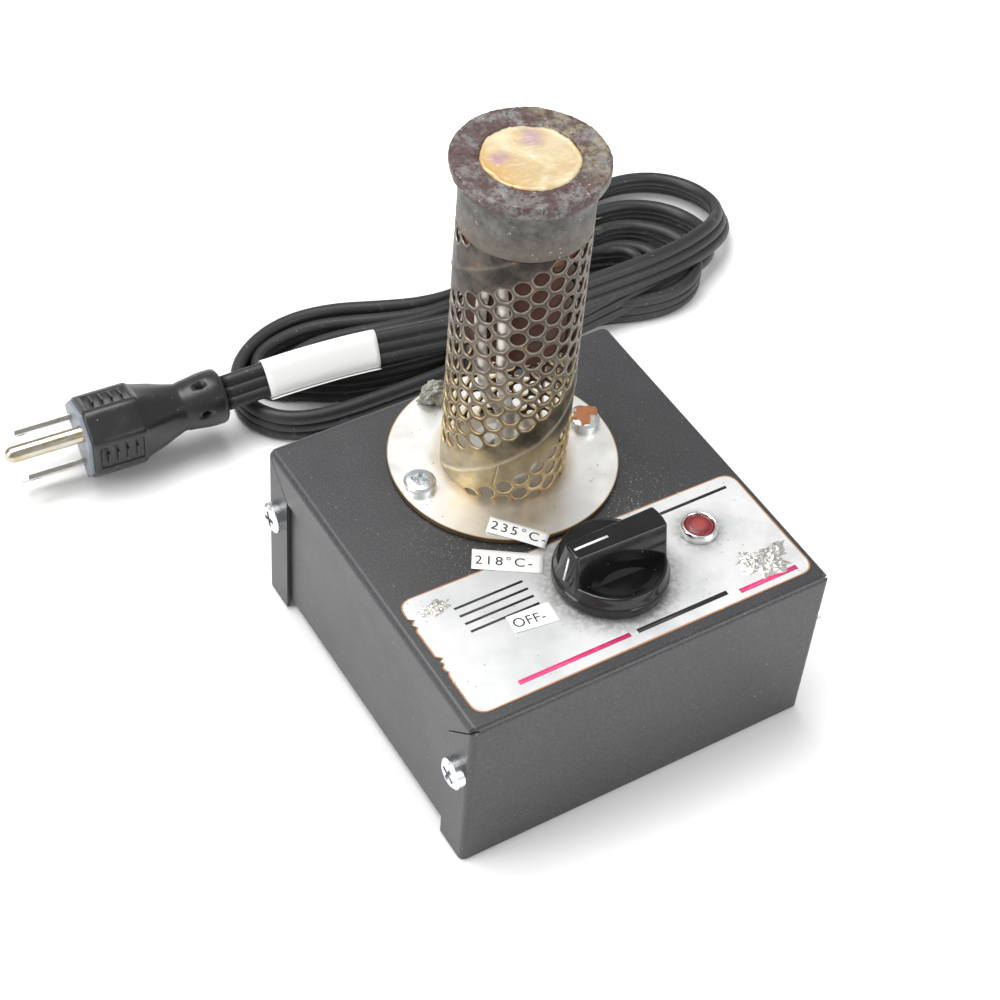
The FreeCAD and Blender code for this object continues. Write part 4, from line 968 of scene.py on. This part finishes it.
def polygon_reach(corners, angle):
    """Distance from the origin to a convex outline in one direction."""
    ray = Vector((math.cos(angle), math.sin(angle)))
    found = []
    for start, end in zip(corners, corners[1:] + corners[:1]):
        edge = Vector(end) - Vector(start)
        bottom = ray.x * edge.y - ray.y * edge.x
        if abs(bottom) < 1e-9:
            continue
        t = (start[0] * edge.y - start[1] * edge.x) / bottom
        s = (start[0] * ray.y - start[1] * ray.x) / bottom
        if t > 0 and -1e-6 <= s <= 1 + 1e-6:
            found.append(t)
    return min(found)


def add_plug_moulding():
    """Grip, straight taper, waist and collar lofted as one skin, with a recess in each of the two
    upper facets.
    """
    # Each station: place along the plug, share of the round shape, size of the grip's outline
    # and radius of the round shape.
    stations = [(-1.2, 0, 0.955, 0), (-1.5, 0, 0.985, 0), (-2.1, 0, 1.0, 0), (-6, 0, 1.0, 0),
                (-11, 0, 1.0, 0), (-15.9, 0, 1.0, 0), (-16.5, 0, 0.985, 0),
                (-16.8, 0.05, 0.95, 10.6), (-17.6, 0.12, 0.92, 10.4), (-22, 0.45, 0.83, 9.0),
                (-26, 0.8, 0.72, 7.6), (-28.6, 1, 0.6, 6.85), (-29.6, 1, 0.5, 6.8),
                (-30, 1, 0.5, 7.0), (-32, 1, 0.5, 7.25), (-35.5, 1, 0.5, 7.75),
                (-37.5, 1, 0.5, 7.88), (-39.8, 1, 0.5, 7.88), (-40.8, 1, 0.5, 7.5),
                (-41.3, 1, 0.5, 6.8), (-41.5, 1, 0.5, 5.9), (-41.5, 1, 0.5, 3.0)]
    count = 72
    grip = []
    for angle in circle(count):
        sharp = polygon_reach(GRIP_CORNERS, angle)
        soft = sum(polygon_reach(GRIP_CORNERS, angle + turn) for turn in (-0.07, 0.07)) / 2
        grip.append((angle, 0.5 * sharp + 0.5 * soft))
    vertices = []
    for along, blend, scale, radius in stations:
        for angle, far in grip:
            reach = far * scale * (1 - blend) + radius * blend
            vertices.append(mm(along, reach * math.cos(angle), reach * math.sin(angle)))
    faces = wall(len(stations) - 1, count, flip=True)
    faces.append(tuple(range(count)))
    faces.append(tuple(range(len(vertices) - 1, len(vertices) - count - 1, -1)))
    skin = add_mesh("plug_skin", vertices, faces, PLASTIC)
    for side in (-1, 1):
        carve(skin, bar_block((12.2, 9.6, 1.1), (-9.4, side * 8.15, 5.45),
                              spin(-side * SLOPE, "X"), PLASTIC))
    for angle, along in ((50, -34.6), (118, -34.8), (230, -34.7), (298, -34.7)):
        drill(skin, 1.3, 3, spin(angle - 90, "X") @ shift(along, 0, 7.6), PLASTIC, 24)
    return skin


def add_grip_ribs():
    """Short ribs in the two recesses and small ones under the collar."""
    ribs = []
    for side in (-1, 1):
        for index in range(4):
            ribs.append(bar_block((0.55, 5.0, 1.0), (-5.4 - 2.7 * index, side * 8.35, 4.9),
                                  spin(-side * SLOPE, "X"), PLASTIC))
    for index in range(4):
        ribs.append(bar_block((0.8, 0.9, 0.9), (-32.6 - 2.1 * index, 0, -7.6), spin(0, "X"),
                              PLASTIC))
    return ribs


def add_plug():
    """The moulded plug with its insert, blades and pin."""
    here = plug_matrix()
    grip = join("plug_grip", [add_plug_moulding()] + add_grip_ribs())
    grip.data.transform(here)
    piece(grip, "pot", "plug_moulding", "plug_body")

    rim = [(y * 0.94, z * 0.94) for y, z in GRIP_CORNERS]
    insert = prism("plug_insert", rim, -1.3, 0.0,
                   moulded("plug_insert", (0.15, 0.165, 0.19), 0.45, 500, 0.3))
    bevel(insert, 0.35, angle=25)
    insert.data.transform(here @ spin(90, "Z") @ spin(90, "X"))
    piece(insert, "pot", "plug_insert", "plug_face")

    blades = []
    shape = [(-3.0, -3.17), (16.2, -3.17), (18.0, -1.6), (18.0, 1.6), (16.2, 3.17), (-3.0, 3.17)]
    for side in (-1, 1):
        blade = prism("blade", shape, -0.75, 0.75, NICKEL)
        drill(blade, 1.55, 2, shift(14, 0, 0), NICKEL, 28)
        bevel(blade, 0.22)
        blade.data.transform(shift(0, side * BLADE_OFFSET, BLADE_LEVEL) @ spin(90, "X"))
        blades.append(blade)
    prongs = join("plug_prongs", blades)
    prongs.data.transform(here)
    piece(prongs, "pot", "nickel_lead", "plug_blades")

    profile = [(0, -4), (PIN_RADIUS, -4), (PIN_RADIUS, 0)]
    for degrees in range(0, 91, 10):
        angle = math.radians(degrees)
        profile.append((PIN_RADIUS * math.cos(angle), 19.4 + PIN_RADIUS * math.sin(angle)))
    pin = lathe("plug_earth_pin", profile, brass_pin("pin_brass"), segments=48)
    pin.data.transform(here @ shift(0, 0, PIN_LEVEL) @ spin(90, "Y"))
    piece(pin, "pot", "pin_brass", "plug_ground_pin")
    return [grip, insert, prongs, pin]


def add_wrap_label(path, leans):
    """The blank paper flag wrapped round the flat cord near the plug, its loose end lifting."""
    ends = []
    for place in (mm(9.5, 102.8, 16.8), mm(-24, 106.2, 16.6)):
        ends.append(min(range(len(path) // 2, len(path)), key=lambda i: (path[i] - place).length))
    first, last = ends
    half_width, half_depth, steps = 5.5, 2.45, 36
    ring = []
    for step in range(steps + 1):
        angle = math.radians(-170 + 345 * step / steps)
        x, y = math.cos(angle), math.sin(angle)
        ring.append((half_width * math.copysign(abs(x) ** 0.55, x),
                     half_depth * math.copysign(abs(y) ** 0.85, y)))
    ring += [(ring[-1][0] - 0.12 * step, ring[-1][1] - 0.75 * step) for step in range(1, 4)]
    vertices = []
    rows = last - first
    for row in range(rows + 1):
        across, through = section_frame(path, leans, first + row)
        slack = 0.15 * math.sin(9 * row / rows) + 0.12
        for wide, thick in ring:
            depth = thick * (1 + 0.1 * slack) + 0.25 * slack
            vertices.append(path[first + row] + (across * wide + through * depth) * MM)
    flag = add_mesh("cord_flag", vertices, wall(rows, len(ring), closed=False), PAPER)
    thicken(flag, 0.12)
    return piece(flag, "pot", "white_paper", "cord_wrap_label")


# ---- the tower -------------------------------------------------------------------------------

TUBE_RADIUS = 16.0
TUBE_HEIGHT = 77.0
HOLE_RADIUS = 2.0
PITCH = 5.12                      # from hole to hole up a column
LEAD_UP = 64.7                    # rise of the spiral in one turn
BAND_WIDTH = 13.5                 # plain wall between the ends of the hole columns
WELD_WIDTH = 0.55                 # from the weld's middle to where it fades
COLUMNS = 24
ROWS = 10
FIRST_ANGLE = 238.7
FIRST_HEIGHT = 23.1
COLUMN_WIDTH = 2 * math.pi * TUBE_RADIUS / COLUMNS


def hexagon_cell():
    """Corners of the cell round one hole: (along the wall, up), counter-clockwise."""
    step = Vector((COLUMN_WIDTH, LEAD_UP / COLUMNS))
    rise = Vector((0, PITCH))
    around = [step - rise, step, rise, rise - step, -step, -rise]
    corners = []
    for first, second in zip(around, around[1:] + around[:1]):
        flat = first.x * second.y - first.y * second.x
        one, two = first.length_squared / 2, second.length_squared / 2
        corners.append(Vector(((one * second.y - two * first.y) / flat,
                               (first.x * two - second.x * one) / flat)))
    return corners


def tube_cells():
    """Flat vertices (along, up, rim, seam) and faces of the whole wall before it is rolled up."""
    corners = hexagon_cell()
    per_edge = 3
    border = []
    for start, end in zip(corners, corners[1:] + corners[:1]):
        border += [start.lerp(end, step / per_edge) for step in range(per_edge)]
    vertices = []
    faces = []
    for turn in (-2, -1, 0, 1):
        for column in range(COLUMNS):
            base = Vector((column * COLUMN_WIDTH,
                           FIRST_HEIGHT + LEAD_UP * (turn + column / COLUMNS)))
            for row in range(ROWS):
                centre = base + Vector((0, row * PITCH))
                if not -4 < centre.y < TUBE_HEIGHT + 4:
                    continue
                faces += wall(2, len(border), first=len(vertices))
                # rim weights the painted highlight round each hole, and dents the wall there
                for share, rim in ((0.0, 1.0), (0.35, 0.45), (1.0, 0.0)):
                    for point in border:
                        spot = centre + (point.normalized() * HOLE_RADIUS).lerp(point, share)
                        vertices.append((spot.x, spot.y, rim, 0.0))
            top = [base + Vector((0, (ROWS - 1) * PITCH)) + corners[i] for i in (3, 2, 1)]
            bottom = [base + Vector((0, LEAD_UP)) + corners[i] for i in (4, 5, 0)]
            if top[0].y <= TUBE_HEIGHT + 2 and bottom[0].y >= -2:
                band_cells(vertices, faces, top, bottom)
    return vertices, faces


def band_cells(vertices, faces, low, high):
    """Plain wall between two rows of cells, with the weld line along its middle."""
    steps, levels = 3, 26
    faces += wall(levels, 2 * steps + 1, first=len(vertices), closed=False)
    for level in range(levels + 1):
        share = level / levels
        seam = math.exp(-((share - 0.5) * BAND_WIDTH / WELD_WIDTH) ** 2)
        for side in range(2):
            for step in range(steps + side):
                start = low[side].lerp(low[side + 1], step / steps)
                spot = start.lerp(high[side].lerp(high[side + 1], step / steps), share)
                vertices.append((spot.x, spot.y, 0.0, seam))


def add_tube():
    """The spiral-wound perforated tube, rolled up from its flat cells."""
    flat, faces = tube_cells()
    work = bmesh.new()
    rim_highlight_layer = work.verts.layers.float.new("rim")
    seam_layer = work.verts.layers.float.new("seam")
    made = []
    for along, up, rim, seam in flat:
        vertex = work.verts.new((along, up, 0))
        vertex[rim_highlight_layer] = rim
        vertex[seam_layer] = seam
        made.append(vertex)
    for face in faces:
        work.faces.new([made[index] for index in face])
    for level, normal in ((0.0, (0, -1, 0)), (TUBE_HEIGHT, (0, 1, 0))):
        bmesh.ops.bisect_plane(work, geom=work.verts[:] + work.edges[:] + work.faces[:],
                               plane_co=(0, level, 0), plane_no=normal, clear_outer=True)
    for vertex in work.verts:
        along, up, _ = vertex.co
        angle = math.radians(FIRST_ANGLE) + along / TUBE_RADIUS
        wave = noise.noise(Vector((along * 0.12, up * 0.12, 3.0))) * 0.06
        relief = 0.22 * vertex[seam_layer] - 0.10 * vertex[rim_highlight_layer] - 0.06
        radius = TUBE_RADIUS + min(relief + wave, 0.25)
        vertex.co = mm(radius * math.cos(angle), TOWER.y + radius * math.sin(angle), DISC_TOP + up)
    bmesh.ops.remove_doubles(work, verts=work.verts, dist=2e-5)
    bmesh.ops.recalc_face_normals(work, faces=work.faces)
    sample = max(work.faces, key=lambda face: face.calc_area())
    middle = sample.calc_center_median()
    outward = Vector((middle.x, middle.y - TOWER.y * MM, 0))
    if sample.normal.dot(outward) < 0:
        bmesh.ops.reverse_faces(work, faces=work.faces)
    tube = linked("heat_tube", from_bmesh(work, "heat_tube"))
    tube.data.materials.append(tube_metal("heated_steel"))
    # the tube's inside: rust darkened to 0.18 of its colour as painted shade
    tube.data.materials.append(rust("tube_inside", 0.18))
    shade_smooth(tube.data)
    thicken(tube, 0.7, -1, material_offset=1)
    return piece(tube, "pot", "heated_steel", "perforated_tube")


RIM_RADIUS = 18.4
RIM_TOP = 17.55                   # highest point of the pot over its seat
SOLDER_LEVEL = 17.22
SOLDER_RADIUS = 11.55


def add_pot():
    """The cast pot with a pitted rim."""
    profile = rounded([(0.0, -36.5), (10.4, -36.5), (10.4, -3), (15.1, -3), (15.1, 0), (15.85, 0.0),
                       (15.85, 0.4), (15.8, 6.0), (15.85, 10.2), (16.6, 12.4), (18.1, 14.4),
                       (RIM_RADIUS, 15.4), (RIM_RADIUS, 17.0), (18.0, 17.5), (15, 17.5),
                       (12.4, 17.45), (11.5, 17.3), (11.2, 15.0)], 0.5, 3)
    pot = lathe("cast_pot", split(profile, 0.5), pot_iron("rusty_cast_iron"),
                TOWER + UP * SEAT, 220)
    pot.data.materials.append(rust("stem_scale", 0.5))
    for polygon in pot.data.polygons:
        if polygon.center.z < (SEAT - 1) * MM:
            polygon.material_index = 1
    roughen(pot, 0.16, 900, 4.0, SEAT + 0.6)
    roughen(pot, 0.22, 160, 9.0, SEAT + 12)
    for vertex in pot.data.vertices:
        out = Vector((vertex.co.x, vertex.co.y - TOWER.y * MM))
        if out.length > RIM_RADIUS * MM:
            out *= RIM_RADIUS * MM / out.length
            vertex.co.x = out.x
            vertex.co.y = TOWER.y * MM + out.y
        vertex.co.z = min(vertex.co.z, (SEAT + RIM_TOP) * MM)
    piece(pot, "pot", "rusty_cast_iron", "crucible")


def add_solder():
    """The frozen solder in the pot: a wavy face with a ragged edge that climbs the wall."""
    rings, segments = 26, 160
    vertices = [mm(TOWER.x, TOWER.y, SEAT + 17.0)]
    for ring in range(1, rings + 1):
        share = ring / rings
        edge = 0.25 * max(0.0, (share - 0.9) / 0.1) - (0.9 if ring == rings else 0.0)
        for angle in circle(segments):
            x, y = math.cos(angle), math.sin(angle)
            ragged = noise.fractal(Vector((x * 3, y * 3, 1.0)), 0.8, 2.1, 5)
            reach = (SOLDER_RADIUS + 0.55 * ragged) * share
            wave = noise.fractal(Vector((reach * x, reach * y, 0)) * 0.16, 1, 2, 4)
            vertices.append(mm(TOWER.x + reach * x, TOWER.y + reach * y,
                               SEAT + SOLDER_LEVEL + 0.16 * wave + edge))
    face = add_mesh("solder_face", vertices, disc_faces(rings, segments),
                    solder_face("frozen_solder"))
    piece(face, "pot", "frozen_solder", "solder_charge")


def lump(name, place, size, seed, material, rough, detail):
    """An irregular blob of dross; place and size in millimetres."""
    work = bmesh.new()
    bmesh.ops.create_icosphere(work, subdivisions=detail, radius=1.0)
    for vertex in work.verts:
        ragged = noise.fractal(vertex.co * 1.5 + Vector((seed, 0, seed)), 0.8, 2.1, 4)
        fine = noise.noise(vertex.co * 6 + Vector((0, seed, 0)))
        vertex.co *= 1 + rough * ragged + 0.12 * rough * fine
        vertex.co = mm(*(x * scale for x, scale in zip(vertex.co, size))) + mm(*place)
    item = linked(name, from_bmesh(work, name))
    item.data.materials.append(material)
    shade_smooth(item.data)
    piece(item, "pot", "frozen_solder")


def splash(name, place, size, height, seed):
    """A thin crumpled patch of splashed solder on a level surface."""
    rings, segments = 14, 72
    x0, y0, z0 = place
    vertices = [mm(x0, y0, z0 + height * 0.5)]
    for ring in range(1, rings + 1):
        share = ring / rings
        for angle in circle(segments):
            x, y = math.cos(angle), math.sin(angle)
            ragged = noise.fractal(Vector((x * 1.7 + seed, y * 1.7, seed)), 0.7, 2.1, 5)
            reach = share * (1 + 0.55 * ragged)
            spot = Vector((reach * size[0] * x, reach * size[1] * y))
            crumple = abs(noise.fractal(Vector((spot.x * 0.55, spot.y * 0.55, seed)), 0.6, 2.2, 5))
            rise = height * (0.25 + 1.5 * crumple) * (1 - share ** 4)
            vertices.append(mm(x0 + spot.x, y0 + spot.y, z0 + rise))
    patch = add_mesh(name, vertices, disc_faces(rings, segments), SPLASH)
    piece(patch, "pot", "frozen_solder")


def add_dross():
    """Splashes on the label, crust on a screw and the lump behind the tower."""
    splash("label_splash", (38.6, -38.8, DECK + 0.16), (7.6, 4.4), 1.3, 3.1)
    splash("label_splash_small", (-40.0, -14.5, DECK + 0.16), (4.2, 2.0), 0.6, 8.3)
    lump("screw_crust", (24.15, 21.0, DISC_TOP + 1.9), (4.0, 3.6, 1.4), 5.2,
         crusted_screw("crusted_screw"), 0.22, 4)
    lump("flange_lump", (-5.2, 45.2, DISC_TOP + 2.6), (4.3, 2.5, 3.4), 2.4,
         moulded("fibre_lump", (0.20, 0.20, 0.175), 0.3, 500, 0.3, 0.6), 0.5, 5)


# ---- knob, lamp, label -----------------------------------------------------------------------

def add_knob():
    """The bar knob: a skirted dome with the bar across it and a white pointer line."""
    floor = KNOB + UP * (DECK + 0.7)
    skirt = rounded([(3.1, 4.2), (8.6, 4.2), (8.6, 0), (13.9, 0.0), (14.4, 0.5), (14.4, 2.9),
                     (14.0, 3.4), (13.7, 4.4), (13.3, 6.1), (12.6, 6.25), (10.2, 4.7), (6.5, 3.9),
                     (0.0, 3.7)], 0.3)
    dome = lathe("knob_dome", skirt, KNOB_PLASTIC, floor, 128)
    lower = []
    upper = []
    low_radius, high_radius = 13.9, 12.9
    for side in (1, -1):
        half_low, half_high = 4.9, 3.3 if side > 0 else 2.75
        for step in range(9):
            share = (step / 4 - 1) * side
            for outline, radius, half in ((lower, low_radius, half_low),
                                          (upper, high_radius, half_high)):
                y = share * half
                outline.append((side * math.sqrt(radius ** 2 - y ** 2), y))
    bar = prism("knob_bar", lower, 3.0, 15.3, KNOB_PLASTIC, upper)
    bar.data.transform(shift(*floor))
    bevel(bar, 0.55, 4, 32)
    knob = join("bar_knob", [dome, bar])
    shade_smooth(knob.data)
    piece(knob, "knob", "black_knob", "control_knob")

    profile = [(-2.4, 15.36), (-6.0, 15.36), (-10.6, 15.36), (-12.2, 15.22), (-12.78, 14.7),
               (-12.98, 13.6), (-13.3, 10.4), (-13.78, 5.6)]
    line = [mm(x, y, z) + floor * MM for x, z in profile for y in (-0.32, 0.32)]
    mark = add_mesh("pointer_line", line, wall(len(profile) - 1, 2, closed=False),
                    print_ink("pointer_white", (0.80, 0.80, 0.78)))
    thicken(mark, 0.08)
    piece(mark, "knob", "white_paper")


def add_lamp():
    """The pilot lamp's chrome bezel and its red lens."""
    floor = LAMP + UP * (DECK + 0.15)
    ring = rounded([(3.5, 0.3), (4.3, 0.0), (4.85, 0.0), (4.85, 1.2), (4.6, 2.0), (4.2, 2.35),
                    (3.85, 2.2), (3.67, 1.9), (3.6, 0.6)], 0.35)
    bezel = lathe("lamp_bezel", ring, chrome("lamp_chrome"), floor)
    piece(bezel, "pot", "lamp_chrome", "pilot_bezel")
    cap = rounded([(3.62, 0.5), (3.62, 1.9), (2.9, 2.25), (1.6, 2.45), (0.0, 2.5)], 0.4)
    lens = lathe("lamp_lens", cap, lens_red("red_lens"), floor, 64)
    piece(lens, "pot", "red_lens", "pilot_lens")


NOTCHES = ((-15.5, 1.3), (-17.6, 0.8), (-28.5, 1.5), (-30.2, 0.9), (-33.0, 0.6))


def label_outline():
    """The label's edge: rounded corners, a slight skew and torn notches on the left."""
    corners = [Vector(place) for place in ((-47.4, -47.1), (48.9, -47.1), (48.9, -10.4),
                                           (-47.4, -9.0))]
    corner_reach = 4.0
    line = []
    for index, here in enumerate(corners):
        before = corners[index - 1]
        after = corners[(index + 1) % 4]
        line += bend(here + (before - here).normalized() * corner_reach, here,
                     here + (after - here).normalized() * corner_reach, 8)
    torn = []
    for point in split(line, 0.6, closed=True):
        bite = 0.10 * noise.noise(Vector((point.x * 0.7, point.y * 0.7, 2.0)))
        if point.x < -47.0:
            for height, depth in NOTCHES:
                bite += depth * math.exp(-((point.y - height) / 0.55) ** 2)
        inward = (Vector((0, -28)) - point).normalized() * 0.02
        torn.append(point + Vector((bite if point.x < 0 else -bite * 0.3, 0)) + inward)
    return torn


def add_label():
    """The face label: a thin film with a brown line along its edge."""
    outer = label_outline()
    inner = []
    for point in outer:
        inward = Vector((0.7 - point.x, (-28.0 - point.y) * 2.4)).normalized()
        inner.append(point + inward * 0.42)
    low, high = DECK + 0.005, DECK + 0.15
    count = len(outer)
    vertices = [mm(*point, height) for line, height in ((outer, low), (outer, high), (inner, high))
                for point in line]
    faces = wall(2, count) + [tuple(range(2 * count, 3 * count))]
    film = add_mesh("face_label", vertices, faces, label_film("label_film"),
                    print_ink("edge_line", (0.36, 0.17, 0.07)), smooth=False)
    for polygon in film.data.polygons[:-1]:
        polygon.material_index = 1
    piece(film, "pot", "label_film", "label_plate")


def stripe(name, start, end, width, ink):
    """One flat printed bar on the label."""
    start, end = Vector(start), Vector(end)
    along = end - start
    side = Vector((-along.y, along.x)).normalized() * width / 2
    outline = [start - side, end - side, end + side, start + side]
    return prism(name, outline, DECK + 0.14, DECK + 0.162, ink)


def add_print():
    """Plain printed stripes and rules in place of the maker's print."""
    marks = [stripe("stripe", (-34, -43.2), (-3, -43.2), 1.3, INK_PINK),
             stripe("stripe", (-1, -43.2), (25, -43.2), 1.3, INK_BLACK),
             stripe("rule", (12, -14.2), (45, -14.2), 0.9, INK_BLACK),
             stripe("stripe", (28, -44.4), (45, -44.4), 1.4, INK_PINK)]
    for row in range(4):
        height = -17.0 - 2.6 * row
        marks.append(stripe("rule", (-36, height), (-17, height), 0.7, INK_BLACK))
    piece(join("label_print", marks), "pot", "label_film")


# Each tab's corners, the height of its paper and how far its loose end lifts.
TABS = {
    "235°C-": ([(-17.6, -0.6), (-7.6, -11.6), (-3.9, -8.3), (-14.1, 3.1)], DISC_TOP + 0.12, 0.6),
    "218°C-": ([(-26.0, -8.0), (-11.4, -17.4), (-8.0, -12.2), (-22.6, -2.6)], DECK + 0.26, 0.15),
    "OFF-": ([(-27.2, -30.2), (-15.4, -31.8), (-14.8, -25.4), (-26.6, -25.0)], DECK + 0.26, 0.10),
}


def tab_rise(u, height, lift):
    """How far a tab's paper stands over its height; the one on the disc sags past the edge."""
    rise = lift * (1 - u) ** 2 * 0.5
    if height > DISC_TOP:
        rise += 0.08 - 0.25 * max(0.0, u - 0.7) / 0.3
    return rise


def tab_paper(a, b, c, d, height, lift):
    """The paper of one tab, between its four corners."""
    columns, rows = 14, 5
    vertices = []
    for row in range(rows + 1):
        for column in range(columns + 1):
            u = column / columns
            spot = a.lerp(b, u).lerp(d.lerp(c, u), row / rows)
            vertices.append(mm(*spot, height + tab_rise(u, height, lift)))
    paper_tab = add_mesh("tab", vertices, wall(rows, columns + 1, closed=False), PAPER)
    return thicken(paper_tab, 0.10, 1)


def tab_letters(text, a, b, d, height, lift):
    """The letters of one tab, laid on its paper."""
    data = bpy.data.curves.new("tab_text", "FONT")
    data.body = text
    data.size = 3.9 * MM
    data.space_character = 1.06 if text == "OFF-" else 1.28
    data.extrude = 0.01 * MM
    letters = linked("tab_letters", curve_mesh(data))
    letters.data.materials.append(INK_BLACK)
    for vertex in letters.data.vertices:
        u = min(1.0, max(0.0, (vertex.co.x / MM + 0.7) / (b - a).length))
        spot = a.lerp(d, 0.26) + (b - a) * u + (d - a).normalized() * (vertex.co.y / MM)
        vertex.co = mm(*spot, height + tab_rise(u, height, lift) + 0.13) + UP * vertex.co.z
    return letters


def add_tabs():
    """The three paper tabs with their plain dial markings."""
    parts = []
    for text, (corners, height, lift) in TABS.items():
        a, b, c, d = (Vector(corner) for corner in corners)
        parts.append(tab_paper(a, b, c, d, height, lift))
        parts.append(tab_letters(text, a, b, d, height, lift))
    piece(join("setting_labels", parts), "pot", "white_paper", "setting_tabs")


def add_fibres():
    """A few fine fibres at the tube's upper right."""
    random.seed(11)
    draw = random.uniform
    strands = []
    for _ in range(9):
        start = Vector((14.6 + draw(-0.5, 0.8), TOWER.y - 3 + draw(-1.5, 1.5),
                        SEAT - 6 + draw(-3, 3)))
        heading = Vector((draw(0.5, 1.0), draw(-1, 0.4), draw(-0.3, 0.9)))
        points = []
        for step in range(4):
            stray = Vector((0, draw(-0.4, 0.4), draw(-0.4, 0.4)))
            points.append((start + heading * step * 0.8 + stray * step) * MM)
        mesh = nurbs("fibre", points, bevel_depth=0.035 * MM, bevel_resolution=1)
        mesh.materials.append(PAPER)
        strands.append(linked("fibre", mesh))
    piece(join("loose_fibres", strands), "pot", "glass_sleeve")


def build():
    """Make everything that the frame's own pieces don't show."""
    add_camera()
    add_studio()
    paint_nodes()
    cord, path, leans = add_cord()
    boot = add_strain_relief()
    plug = add_plug()
    flag = add_wrap_label(path, leans)
    add_tube()
    add_pot()
    add_solder()
    add_dross()
    add_knob()
    add_lamp()
    add_label()
    add_print()
    add_tabs()
    add_fibres()


build()
